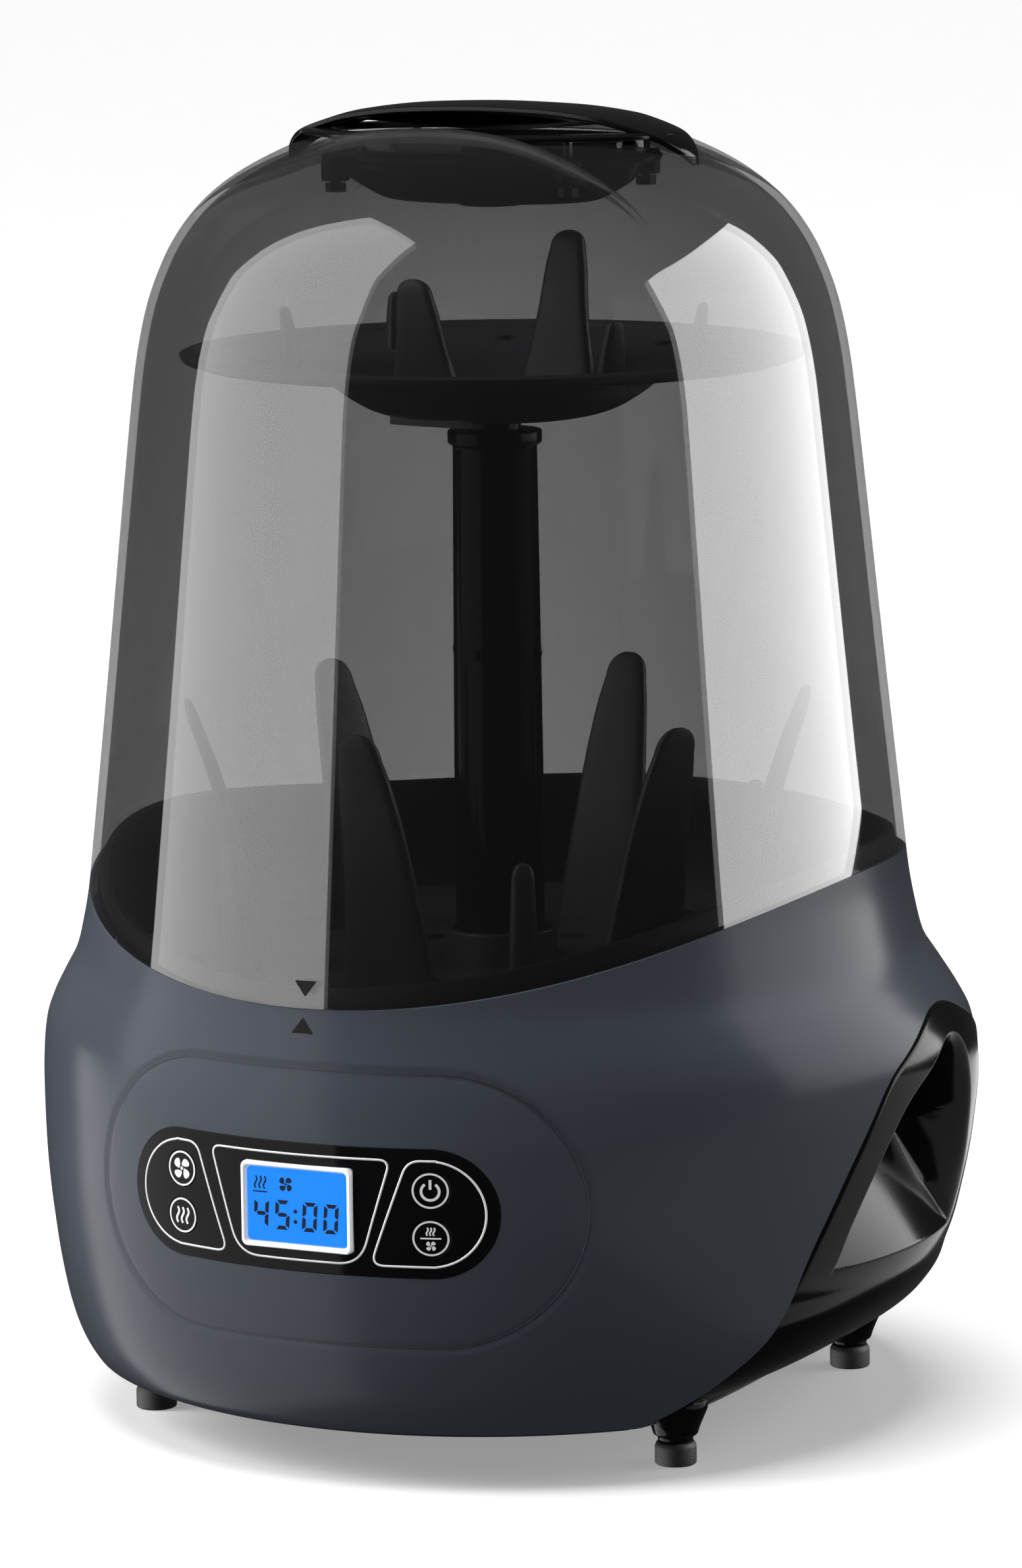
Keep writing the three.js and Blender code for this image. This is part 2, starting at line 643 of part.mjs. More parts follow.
const feet = [[1, -1], [-1, -1], [-1, 1], [1, 1]];
feet.forEach(([sx, sy], i) => {
  const leg = turned([
    [0, 7.2], [5.2, 7.2], [5.2, 8.6], [6.4, 9], [7, 11], [9.6, 17], [9.6, 19.7], [0, 19.7],
  ], sx * FOOT_X, sy * FOOT_Y, 12);
  addPiece(`foot_leg_${i + 1}`, leg, "black");
  const pad = turned([[0, 0], [6.1, 0], [6.1, 6.9], [0, 6.9]], sx * FOOT_X, sy * FOOT_Y, 12);
  addPiece(`foot_pad_${i + 1}`, pad, "rubber");
  const screw = turned([
    [0, 17.5], [3.3, 17.5], [3.3, 19.7], [1.4, 19.7], [1.4, 35], [0, 35],
  ], sx * POST[0], sy * POST[1], 8);
  addPiece(`base_screw_${i + 1}`, screw, "steel");
});

// ---------------------------------------------------------------------------
// Water basin: chamber floor, heating well, air chimney and screw posts
// ---------------------------------------------------------------------------
function lipLoop(inset, rise) {
  const loop = [];
  for (let i = 0; i < SEG; i += 1) {
    const angle = (2 * Math.PI * i) / SEG;
    const z = seam(angle) + rise;
    const a = COVER_HALF - COVER_TAPER * (z - 158.8);
    loop.push(ovalPoint(angle, a - inset, a * DEPTH_RATIO - inset, 2, z));
  }
  return loop;
}

let basin = skin([
  lipLoop(3.1, 6), lipLoop(3.1, -4), oval(118.2, 126, 129), oval(112.6, 121, 123),
  oval(103, 112, 100), oval(50, 50, 98), oval(50, 50, 101), oval(62, 62, 104),
  oval(100, 109, 105.5), oval(109.5, 118, 126.6),
  oval(113.9, 122.6, 127), lipLoop(5.6, 6),
], true);
basin = basin.add(rod(14, 98.5, 120, DUCT_X, DUCT_Y, 16));
for (const [sx, sy] of screwSpots) {
  basin = basin.add(rod(5, PAN_TOP + GAP, 103, sx * POST[0], sy * POST[1], 10));
}
basin = basin.subtract(rod(11, 90, 130, DUCT_X, DUCT_Y, 16));
for (const [sx, sy] of screwSpots) {
  basin = basin.subtract(rod(1.8, 10, 40, sx * POST[0], sy * POST[1], 8));
}
addPiece("water_basin", basin, "dark");

addPiece("heating_plate", turned([
  [0, 105], [PLATE_RADIUS - 2, 105], [PLATE_RADIUS, 106], [PLATE_RADIUS + 2, 109],
  [PLATE_RADIUS + 0.8, 109.6], [PLATE_RADIUS - 2, 106.4], [0, 106.2],
], 0, 0, 28), "steel");
addPiece("plate_seal", turned([
  [50.8, 101.9], [53.4, 102.7], [53.4, 104.6], [50.8, 104.6],
], 0, 0, 28), "silicone");

const element = new THREE.TorusGeometry(34, 3.6, 8, 24);
element.translate(0, 0, 101);
addPiece("heating_element", toSolid(element).subtract(box(-7, 7, -45, -20, 90, 110)), "steel");
addPiece("thermostat", unite([rod(8.5, 94, 104.6), rod(11, 99, 101)]), "dark");

// ---------------------------------------------------------------------------
// Drying blower: housing with duct, motor and impeller
// ---------------------------------------------------------------------------
function pear(radius, neck, z0, z1) {
  const dx = DUCT_X - FAN_X;
  const dy = DUCT_Y - FAN_Y;
  const reach = Math.hypot(dx, dy);
  const heading = Math.atan2(dy, dx);
  const lean = Math.acos((radius - neck) / reach);
  const loop = [];
  for (let i = 0; i <= 14; i += 1) {
    const t = heading + lean + ((2 * Math.PI - 2 * lean) * i) / 14;
    loop.push([FAN_X + radius * Math.cos(t), FAN_Y + radius * Math.sin(t)]);
  }
  for (let i = 0; i <= 6; i += 1) {
    const t = heading - lean + (2 * lean * i) / 6;
    loop.push([DUCT_X + neck * Math.cos(t), DUCT_Y + neck * Math.sin(t)]);
  }
  return skin([loop.map(([x, y]) => [x, y, z0]), loop.map(([x, y]) => [x, y, z1])]);
}

let blower = pear(36, 14, 30, 60).add(rod(13, 59, 97.6, DUCT_X, DUCT_Y, 16));
blower = cut(blower, [
  pear(34, 12, 32, 58),
  rod(11, 50, 99, DUCT_X, DUCT_Y, 16),
  rod(20, 28, 34, FAN_X, FAN_Y, 18),
  rod(4, 55, 62, FAN_X, FAN_Y, 12),
]);
addPiece("blower_housing", blower, "dark");

let motor = turned([
  [2.4, 60.4], [16.5, 60.4], [17, 61], [17, 82], [15, 84], [0, 84], [0, 72], [2.4, 72],
], FAN_X, FAN_Y, 18);
addPiece("blower_motor", motor, "steel");

let impeller = rod(29, 52, 54, FAN_X, FAN_Y, 20)
  .add(rod(7, 38, 52.5, FAN_X, FAN_Y, 20))
  .add(rod(2, 53, 70, FAN_X, FAN_Y, 10))
  .add(tube(29, 22, 36, 37.6, FAN_X, FAN_Y, 20));
for (let i = 0; i < 10; i += 1) {
  const blade = box(21, 28.6, -0.7, 0.7, 37, 53).rotate([0, 0, 24]);
  const spread = blade.rotate([0, 0, (i * 360) / 10 - 24]);
  impeller = impeller.add(spread.translate([FAN_X, FAN_Y, 0]));
}
addPiece("blower_impeller", impeller, "dark");

// ---------------------------------------------------------------------------
// Rear: filter behind a pull-off cover, power inlet
// ---------------------------------------------------------------------------
const coverPlate = bodySolid(0, 14, 110).subtract(bodySolid(2.4, 13, 120));
let filterCover = coverPlate.intersect(
  box(FILTER[0] + GAP, FILTER[1] - GAP, 90, 150, FILTER[2] + GAP, FILTER[3] - GAP));
for (let i = 0; i < 5; i += 1) {
  const z = FILTER[2] + 9 + i * 7;
  filterCover = filterCover.subtract(box(-32, 32, 90, 150, z - 1.5, z + 1.5));
}
addPiece("filter_cover", filterCover, "dark");
addPiece("air_filter", box(-36, 36, 118.5, 124, FILTER[2] + 3, FILTER[3] - 3), "foam");

let inlet = box(INLET[0] - 11.6, INLET[0] + 11.6, 88.3, 109.6, INLET[1] - 8.6, INLET[1] + 8.6);
inlet = inlet.subtract(prismY(stadium(8, 4.6, INLET[1], 8).map(([x, z]) => [x + INLET[0], z]), 93, 120));
for (const side of [-1, 1]) {
  inlet = inlet.subtract(
    prismY(disc(INLET[0] + side * 3.4, INLET[1], 1.55, 10), 80, 94));
}
addPiece("power_inlet", inlet, "black");
for (const [i, side] of [-1, 1].entries()) {
  addPiece(`inlet_pin_${i + 1}`,
    prismY(disc(INLET[0] + side * 3.4, INLET[1], 1.2, 10), 88.8, 104), "steel");
}

// ---------------------------------------------------------------------------
// Control panel: bezel, screen, keys and boards
// ---------------------------------------------------------------------------
const keySpots = [
  ["key_fan", -KEY_X, PANEL_Z + KEY_DZ], ["key_steam", -KEY_X, PANEL_Z - KEY_DZ],
  ["key_power", KEY_X, PANEL_Z + KEY_DZ], ["key_auto", KEY_X, PANEL_Z - KEY_DZ],
];
let bezel = bodySolid(0.15, 40, 125).subtract(bodySolid(3, 30, 130)).intersect(
  prismY(stadium(PILL_HALF - GAP, PILL_RADIUS - GAP, PANEL_Z, 9), -150, -90));
bezel = bezel.subtract(box(-18.1, 18.1, -150, -100, PANEL_Z - 12.9, PANEL_Z + 12.9));
for (const [, x, z] of keySpots) {
  bezel = bezel.subtract(prismY(disc(x, z, KEY_RADIUS + 0.3), -150, -90));
}
addPiece("control_bezel", bezel, "black");

addPiece("lcd_frame", box(-17.7, 17.7, -135.6, -133.2, PANEL_Z - 12.5, PANEL_Z + 12.5)
  .subtract(box(-16.2, 16.2, -140, -130, PANEL_Z - 11, PANEL_Z + 11)), "silver");
addPiece("lcd_screen", box(-15.9, 15.9, -135, -129.6, PANEL_Z - 10.7, PANEL_Z + 10.7), "blue");
for (const [name, x, z] of keySpots) {
  const cap = bodySolid(0.1, 40, 125).intersect(prismY(disc(x, z, KEY_RADIUS), -150, -126));
  const stem = prismY(disc(x, z, 2.2, 8), -127, -124.1);
  addPiece(name, cap.add(stem), "black");
}
addPiece("control_board", box(-46, 46, -123, -121.4, PANEL_Z - 15, PANEL_Z + 15), "board");
addPiece("power_board", unite([
  box(-46, 46, -96, -34, 30, 31.6), box(-40, -16, -88, -62, 31, 50), box(0, 14, -90, -76, 31, 46),
]), "board");

export default group;
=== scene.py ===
import json
import math

import bpy
import numpy as np
from mathutils import Matrix, Vector


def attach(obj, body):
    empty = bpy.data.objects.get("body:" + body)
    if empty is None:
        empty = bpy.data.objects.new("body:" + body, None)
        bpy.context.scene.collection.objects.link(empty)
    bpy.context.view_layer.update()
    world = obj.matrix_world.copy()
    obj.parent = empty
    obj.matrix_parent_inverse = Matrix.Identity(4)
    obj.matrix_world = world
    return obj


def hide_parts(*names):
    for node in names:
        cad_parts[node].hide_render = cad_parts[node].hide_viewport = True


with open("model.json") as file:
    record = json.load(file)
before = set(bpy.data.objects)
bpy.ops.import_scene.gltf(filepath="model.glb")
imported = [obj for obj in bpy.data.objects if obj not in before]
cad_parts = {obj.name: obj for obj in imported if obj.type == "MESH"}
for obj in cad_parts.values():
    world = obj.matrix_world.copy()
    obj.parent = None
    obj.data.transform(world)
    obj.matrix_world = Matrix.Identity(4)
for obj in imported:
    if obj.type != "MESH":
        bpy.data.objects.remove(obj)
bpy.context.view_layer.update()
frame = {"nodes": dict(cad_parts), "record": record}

NODES = frame["nodes"]
TAU = 2 * math.pi
MM = 0.001

# ---- Shapes of the appliance, millimetres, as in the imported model
DEPTH_RATIO = 1.056
SEAM_Z = 158.8
NECK_Z = 131
CROWN_LOW = 298
COVER_HALF = 121.8
COVER_TAPER = 0.109
COVER_WALL = 2.5
GAP = 0.35
FOOT = 16.5
PANEL_Z = 83.2
FIELD_X, FIELD_Z = 4, 83.4
CORNERS = (1, -1), (-1, -1), (-1, 1), (1, 1)
ARCH_Y = 16
RACK_Z = 127.3
TRAY_Z = 294
COLUMN_TOP = TRAY_Z - 1.6

# height, half-width, half-depth, roundness exponent, rearward shift of the widest point
BODY = np.array([
    [13.8, 116, 119, 2, 0], [16.5, 124, 125.5, 2, 0], [20, 127.2, 127.6, 2, 0],
    [28, 130.5, 130.5, 2, 0], [42, 134, 133, 2, 0], [60, 137, 134.8, 2, 0.004],
    [83, 140.8, 135.7, 2, 0.03], [100, 142, 135.5, 2, 0.042], [109, 141.7, 134.8, 2, 0.042],
    [116, 140.6, 134, 2, 0.038], [123, 137.3, 133, 2, 0.026], [131, 132, 131.8, 2, 0.012],
    [139, 126.6, 130.7, 2, 0], [147, 124.2, 129.9, 2, 0], [158.8, 121.8, 128.65, 2, 0],
    [172, 120.3, 127.1, 2, 0],
], float)
UNDER = np.array([
    [17, 94, 121, 3.6, 0], [20, 99, 123, 3.3, 0], [24, 108, 125, 2.9, 0], [28, 114.5, 127, 2.7, 0],
    [35, 123, 130, 2.35, 0], [42, 129.2, 132, 2.15, 0], [50, 133.7, 133.7, 2, 0],
    *BODY[5:].tolist(),
], float)
CROWN = np.array([
    [298, 107], [314, 105], [330, 101.8], [345, 96.3], [353, 91.8], [361, 85.4],
    [369, 76], [376.7, 62.5], [382.6, 48], [386.6, 30], [388.6, 10],
], float)
ARCH = np.array([
    [0, 126], [9, 125], [22, 120.5], [33, 115.6], [42, 110], [56.5, 91], [69.5, 68], [80.7, 41],
    [91.5, 29.8], [101, 21.5], [107, 16],
], float)
HOLE = np.array([
    [12, 112.5], [3, 111], [-6, 107.5], [-19, 99.5], [-34, 80], [-45, 60], [-47, 54], [27, 54],
    [27, 62], [25, 86], [21, 104], [17, 110.5],
], float)


def pchip(xs, ys, x):
    """Monotone cubic through (xs, ys)."""
    xs, ys, x = np.asarray(xs, float), np.asarray(ys, float), np.asarray(x, float)
    h, d = np.diff(xs), np.diff(ys) / np.diff(xs)
    m = np.zeros_like(ys)
    for i in range(1, len(xs) - 1):
        if d[i - 1] * d[i] > 0:
            w1, w2 = 2 * h[i] + h[i - 1], h[i] + 2 * h[i - 1]
            m[i] = (w1 + w2) / (w1 / d[i - 1] + w2 / d[i])
    m[0], m[-1] = d[0], d[-1]
    i = np.clip(np.searchsorted(xs, x) - 1, 0, len(xs) - 2)
    t = np.clip((x - xs[i]) / h[i], 0, 1)
    return (ys[i] * (1 + 2 * t) * (1 - t) ** 2 + m[i] * h[i] * t * (1 - t) ** 2
            + ys[i + 1] * t * t * (3 - 2 * t) - m[i + 1] * h[i] * t * t * (1 - t))


def smoothstep(a, b, x):
    t = np.clip((np.asarray(x, float) - a) / (b - a), 0, 1)
    return t * t * (3 - 2 * t)


def around(count):
    return np.linspace(0, TAU, count, endpoint=False)


def seam(angle):
    """Height of the saddle-shaped line where the cover meets the shell."""
    c = [np.cos(k * angle) for k in (1, 2, 3, 4)]
    return SEAM_Z - 9.7 * c[0] - 7.65 * c[1] - 2.5 * c[2] + 0.96 * c[3]


def oval_xy(angle, a, b, n=2.0, back=0.0):
    s, c = np.sin(angle), np.cos(angle)
    x = a * np.sign(s) * np.abs(s) ** (2 / n) * (1 - back * c)
    return x, -b * np.sign(c) * np.abs(c) ** (2 / n)


def body_point(angle, z, offset=0.0, rows=BODY):
    """Point on the base's outline surface."""
    a, b, n, e = (pchip(rows[:, 0], rows[:, k], z) for k in (1, 2, 3, 4))
    x, y = oval_xy(angle, a - offset, b - offset, n, e)
    return np.stack(np.broadcast_arrays(x, y, z), -1)


def front_y(x, z, offset=0.0):
    """Depth of the front surface of the base at (x, z)."""
    x, z = np.broadcast_arrays(np.asarray(x, float), np.asarray(z, float))
    a, b, e = (pchip(BODY[:, 0], BODY[:, k], z) for k in (1, 2, 4))
    c = np.ones_like(x)
    for _ in range(6):
        s = x / ((a - offset) * (1 - e * c))
        c = np.sqrt(np.maximum(0, 1 - s * s))
    return -(b - offset) * c


# ---- Mesh helpers
def make(name, verts, faces, material, body, slot=None, replaces=(), flat=False):
    mesh = bpy.data.meshes.new(name)
    mesh.from_pydata((np.asarray(verts, float) * MM).tolist(), [], [tuple(map(int, f)) for f in faces])
    mesh.validate(clean_customdata=False)
    mesh.update()
    if not flat:
        mesh.shade_smooth()
    o = bpy.data.objects.new(name, mesh)
    bpy.context.scene.collection.objects.link(o)
    for m in material if isinstance(material, (list, tuple)) else [material]:
        mesh.materials.append(m)
    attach(o, body)
    if replaces:
        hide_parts(*replaces)
    return o


class Soup:
    """Collects several shells of one piece, each with a material index."""

    def __init__(self):
        self.verts, self.faces, self.mats = [], [], []

    def add(self, verts, faces, mat=0):
        base = sum(len(v) for v in self.verts)
        self.verts.append(np.asarray(verts, float).reshape(-1, 3))
        self.faces += [tuple(int(i) + base for i in f) for f in faces]
        self.mats += [mat] * len(faces)
        return self

    def merge(self, other):
        base = sum(len(v) for v in self.verts)
        self.verts += other.verts
        self.faces += [tuple(i + base for i in f) for f in other.faces]
        self.mats += other.mats

    def draw(self, shapes):
        """Adds printed shapes, which have the second material."""
        for verts, faces in shapes:
            self.add(verts, faces, 1)

    def build(self, name, material, body, slot=None, replaces=(), sharp=None):
        o = make(name, np.concatenate(self.verts), self.faces, material, body, slot, replaces)
        if len(self.mats) == len(o.data.polygons):
            o.data.polygons.foreach_set("material_index", self.mats)
        if sharp:
            o.data.set_sharp_from_angle(angle=math.radians(sharp))
        return o


def polygon_sdf(points, poly):
    """Signed distance to a closed outline, positive inside."""
    p = np.asarray(points, float).reshape(-1, 2)
    poly = np.asarray(poly, float)
    best = np.full(len(p), 1e9)
    inside = np.zeros(len(p), bool)
    for a, b in zip(poly, np.roll(poly, -1, 0)):
        ab = b - a
        t = np.clip(((p - a) @ ab) / max(ab @ ab, 1e-12), 0, 1)
        best = np.minimum(best, np.hypot(*(p - a - t[:, None] * ab).T))
        cross = (a[1] > p[:, 1]) != (b[1] > p[:, 1])
        if a[1] != b[1]:
            at = a[0] + (p[:, 1] - a[1]) * ab[0] / (b[1] - a[1])
            inside ^= cross & (p[:, 0] < at)
    return np.where(inside, best, -best)


def rounded_box(x, z, cx, cz, hx, hz, r):
    """Signed distance to a rounded rectangle, positive inside."""
    qx, qz = np.abs(x - cx) - hx + r, np.abs(z - cz) - hz + r
    return r - np.hypot(np.maximum(qx, 0), np.maximum(qz, 0)) - np.minimum(np.maximum(qx, qz), 0)


def blend(p, q, a, b, s):
    return (b - s) / (b - a) * p + (s - a) / (b - a) * q


def smooth_curve(points, step=1.5, closed=False):
    """Centripetal Catmull-Rom through points, resampled."""
    pts = np.asarray(points, float)
    n = len(pts)
    ext = np.concatenate([pts[-1:], pts, pts[:2]]) if closed else np.concatenate(
        [2 * pts[:1] - pts[1:2], pts, 2 * pts[-1:] - pts[-2:-1]])
    out = []
    for i in range(n if closed else n - 1):
        spans = np.linalg.norm(np.diff(ext[i:i + 4], axis=0), axis=1)
        t = np.concatenate([[0], np.cumsum(np.maximum(spans, 1e-6) ** 0.5)])
        count = max(2, int(spans[1] / step))
        for s in np.linspace(t[1], t[2], count, endpoint=False):
            a1, a2, a3 = (blend(ext[i + k], ext[i + k + 1], t[k], t[k + 1], s) for k in range(3))
            b1, b2 = blend(a1, a2, t[0], t[2], s), blend(a2, a3, t[1], t[3], s)
            out.append(blend(b1, b2, t[1], t[2], s))
    if not closed:
        out.append(pts[-1])
    return np.array(out)


def resample(curve, count, closed=False):
    c = np.concatenate([curve, curve[:1]]) if closed else np.asarray(curve, float)
    d = np.concatenate([[0], np.cumsum(np.linalg.norm(np.diff(c, axis=0), axis=1))])
    at = np.linspace(0, d[-1], count, endpoint=not closed)
    return np.stack([np.interp(at, d, c[:, k]) for k in range(c.shape[1])], -1)


def clipped(surface, cut, us, vs, wrap, thick, lip, rim_where=None):
    """A sheet over a (u, v) grid, trimmed where cut is positive, with rounded rims and an inner face.

    surface(u, v) gives points; cut(points) gives the signed cut. lip is a list of (outward, inward)."""
    nu, nv = len(us), len(vs)
    U, V = np.meshgrid(us, vs, indexing="ij")
    P = surface(U, V)
    F = cut(P.reshape(-1, 3)).reshape(nu, nv)
    eu, ev = (us[1] - us[0]) * 0.01, 1e-3 * (vs[-1] - vs[0])
    N = np.cross(surface(U + eu, V) - surface(U - eu, V),
                 surface(U, np.minimum(V + ev, vs[-1])) - surface(U, np.maximum(V - ev, vs[0])))
    N /= np.maximum(np.linalg.norm(N, axis=-1, keepdims=True), 1e-12)
    verts, normals, ids, edges = [], [], {}, {}

    def corner(i, j):
        key = (i % nu, j)
        if key not in ids:
            ids[key] = len(verts)
            verts.append(P[key])
            normals.append(N[key])
        return ids[key]

    def crossing(a, b):
        key = tuple(sorted(((a[0] % nu, a[1]), (b[0] % nu, b[1]))))
        if key not in edges:
            fa, fb = F[key[0]], F[key[1]]
            t = min(max(fa / (fa - fb), 0.02), 0.98)
            edges[key] = len(verts)
            verts.append(P[key[0]] * (1 - t) + P[key[1]] * t)
            n = N[key[0]] * (1 - t) + N[key[1]] * t
            normals.append(n / max(np.linalg.norm(n), 1e-9))
        return edges[key]

    faces = []
    for i in range(nu if wrap else nu - 1):
        for j in range(nv - 1):
            ring = [(i, j), (i + 1, j), (i + 1, j + 1), (i, j + 1)]
            vals = [F[a % nu, b] for a, b in ring]
            if all(v <= 0 for v in vals):
                faces.append([corner(*c) for c in ring])
            elif any(v <= 0 for v in vals):
                poly = []
                for k in range(4):
                    if vals[k] <= 0:
                        poly.append(corner(*ring[k]))
                    if (vals[k] <= 0) != (vals[(k + 1) % 4] <= 0):
                        poly.append(crossing(ring[k], ring[(k + 1) % 4]))
                if len(poly) >= 3:
                    faces.append(poly)
    verts, normals = np.array(verts), np.array(normals)
    used = dict.fromkeys((a, b) for f in faces for a, b in zip(f, f[1:] + f[:1]))
    border = [(a, b) for a, b in used if (b, a) not in used]
    out_dir = np.zeros_like(verts)
    for a, b in border:
        e = verts[b] - verts[a]
        e /= max(np.linalg.norm(e), 1e-9)
        for k in (a, b):
            out_dir[k] += np.cross(e, normals[k])
    out_dir /= np.maximum(np.linalg.norm(out_dir, axis=1, keepdims=True), 1e-9)
    if rim_where is not None:
        border = [(a, b) for a, b in border if rim_where(verts[a]) and rim_where(verts[b])]
    soup = Soup().add(verts, faces)
    mark = sorted({k for e in border for k in e})
    index = {k: i for i, k in enumerate(mark)}
    rings = [verts[mark] + out_dir[mark] * o - normals[mark] * d for o, d in [(0.0, 0.0)] + lip]
    rings.append(verts[mark] - normals[mark] * thick)
    m = len(mark)
    strip = []
    for r in range(len(rings) - 1):
        for a, b in border:
            ia, ib = index[a], index[b]
            strip.append((r * m + ib, r * m + ia, (r + 1) * m + ia, (r + 1) * m + ib))
    if m:
        soup.add(np.concatenate(rings), strip)
    soup.add(verts - normals * thick, [f[::-1] for f in faces])
    return soup


def skin(rows, n, closed=True, ring=False):
    """Faces between rows of n points, joined round each row and round the rows where asked."""
    faces = []
    for r in range(rows if ring else rows - 1):
        a, b = r * n, (r + 1) % rows * n
        for i in range(n if closed else n - 1):
            j = (i + 1) % n
            faces.append((a + i, a + j, b + j, b + i))
    return faces


def loft(loops, ring=False, caps=True):
    """Skin equal loops; loops run anticlockwise seen against the stacking direction."""
    n = len(loops[0])
    verts = np.concatenate(loops)
    faces = skin(len(loops), n, ring=ring)
    if caps and not ring:
        for start, flip in ((0, True), (len(verts) - n, False)):
            hub = len(verts)
            verts = np.concatenate([verts, verts[start:start + n].mean(0)[None]])
            for j in range(n):
                a, b = start + j, start + (j + 1) % n
                faces.append((hub, b, a) if flip else (hub, a, b))
    return verts, faces


def oval_loop(a, b, z, seg, x=0.0, y=0.0):
    angles = around(seg)
    return np.stack([x + a * np.cos(angles), y + b * np.sin(angles), np.full(seg, float(z))], -1)


def lathe(profile, x=0.0, y=0.0, seg=64):
    """Turned skin about a vertical axis from (radius, height) points, open at both ends."""
    return loft([oval_loop(r, r, z, seg, x, y) for r, z in profile], caps=False)


def rounded(profile, radius, steps=4, closed=False):
    """Rounds the corners of a profile given as points with an optional own radius as third value."""
    pts = [np.array(p[:2], float) for p in profile]
    own = [p[2] if len(p) > 2 else radius for p in profile]
    out = []
    n = len(pts)
    for i in range(n):
        if not closed and i in (0, n - 1):
            out.append(pts[i])
            continue
        a, b, c = pts[i - 1], pts[i], pts[(i + 1) % n]
        la, lc = np.linalg.norm(a - b), np.linalg.norm(c - b)
        r = min(own[i], la * 0.45, lc * 0.45)
        if r < 1e-3:
            out.append(b)
            continue
        p, q = b + (a - b) / la * r, b + (c - b) / lc * r
        for t in np.linspace(0, 1, steps + 1):
            out.append((1 - t) ** 2 * p + 2 * t * (1 - t) * b + t * t * q)
    return np.array(out)


def ribbon(path, width, place, closed=False, height=0.05, lift=0.0):
    """Thin line, printed or standing for painted shade: path in (x, z), place(x, z, lift) puts it on a
    surface.
    """
    p = np.asarray(path, float)
    nxt, prv = np.roll(p, -1, 0), np.roll(p, 1, 0)
    if not closed:
        nxt[-1], prv[0] = p[-1], p[0]
    t = nxt - prv
    t /= np.maximum(np.linalg.norm(t, axis=1, keepdims=True), 1e-9)
    nrm = np.stack([t[:, 1], -t[:, 0]], -1)
    rows = [p + nrm * width / 2, p + nrm * width / 2, p - nrm * width / 2, p - nrm * width / 2]
    lifts = [lift, lift + height, lift + height, lift]
    verts = np.concatenate([place(r[:, 0], r[:, 1], h) for r, h in zip(rows, lifts)])
    return verts, skin(4, len(p), closed)


def patch(outline, place, height=0.05):
    """Thin filled printed shape."""
    p = np.asarray(outline, float)
    n = len(p)
    verts = np.concatenate([place(p[:, 0], p[:, 1], 0.0), place(p[:, 0], p[:, 1], height)])
    return verts, skin(2, n) + [tuple(range(n, 2 * n))]


def arc(cx, cz, r, a0, a1, count=24):
    t = np.radians(np.linspace(a0, a1, count))
    return np.stack([cx + r * np.cos(t), cz + r * np.sin(t)], -1)


# ---- Materials
def new_node(tree, kind, values=None, **settings):
    """Node with input values given by name or number, and its settings."""
    node = tree.nodes.new(kind)
    for key, value in settings.items():
        setattr(node, key, value)
    for key, value in (values or {}).items():
        node.inputs[key].default_value = value
    return node


def plastic(name, color, rough, vary=0.05, grain=0.0, grain_scale=900.0, metallic=0.0, coat=0.0,
            coat_rough=0.05, rough_vary=0.05, level=0.5, ior=1.47, emission=None, brushed=False):
    """Moulded plastic, rubber or metal whose tone, sheen and fine grain vary over the piece."""
    material = bpy.data.materials.new(name)
    material.use_nodes = True
    tree = material.node_tree
    link = tree.links.new
    tree.nodes.clear()
    shader = new_node(tree, "ShaderNodeBsdfPrincipled", {
        "Metallic": metallic, "IOR": ior, "Specular IOR Level": level,
        "Coat Weight": coat, "Coat Roughness": coat_rough})
    link(shader.outputs[0], new_node(tree, "ShaderNodeOutputMaterial").inputs[0])
    coord = new_node(tree, "ShaderNodeTexCoord")
    mapping = new_node(tree, "ShaderNodeMapping", {"Scale": (1.0, 1.0, 40.0 if brushed else 1.0)})
    link(coord.outputs["Object"], mapping.inputs[0])

    def noise(scale, detail):
        pattern = new_node(tree, "ShaderNodeTexNoise", {"Scale": scale, "Detail": detail})
        link(mapping.outputs[0], pattern.inputs["Vector"])
        return pattern.outputs[0]

    dark, light = (np.clip(np.array(color) * (1 + k * vary), 0, 1) for k in (-1, 1))
    tone = new_node(tree, "ShaderNodeMix", {6: (*dark, 1), 7: (*light, 1)}, data_type="RGBA")
    link(noise(9.0, 1.0), tone.inputs[0])
    link(tone.outputs[2], shader.inputs["Base Color"])
    sheen = new_node(tree, "ShaderNodeMapRange", {3: max(rough - rough_vary, 0.01), 4: rough + rough_vary})
    link(noise(22.0, 1.0), sheen.inputs[0])
    link(sheen.outputs[0], shader.inputs["Roughness"])
    if grain:
        bump = new_node(tree, "ShaderNodeBump", {"Strength": grain, "Distance": 0.0002})
        link(noise(grain_scale, 2.0), bump.inputs["Height"])
        link(bump.outputs[0], shader.inputs["Normal"])
    if emission:
        shader.inputs["Emission Color"].default_value = (*emission[0], 1)
        shader.inputs["Emission Strength"].default_value = emission[1]
    return material


def wall_path(material, face_on, edge_on):
    """Opacity from square on to edge on, the wall being seen through a longer path at its edges."""
    tree = material.node_tree
    link = tree.links.new
    shader = next(n for n in tree.nodes if n.type == "BSDF_PRINCIPLED")
    weight = new_node(tree, "ShaderNodeLayerWeight", {"Blend": 0.5})
    level = new_node(tree, "ShaderNodeMath", {0: 1.0}, operation="SUBTRACT")
    square = new_node(tree, "ShaderNodeMath", {1: 2.0}, operation="POWER")
    span = new_node(tree, "ShaderNodeMapRange", {3: edge_on, 4: face_on})
    link(weight.outputs["Facing"], level.inputs[1])
    link(level.outputs[0], square.inputs[0])
    link(square.outputs[0], span.inputs[0])
    link(span.outputs[0], shader.inputs["Alpha"])


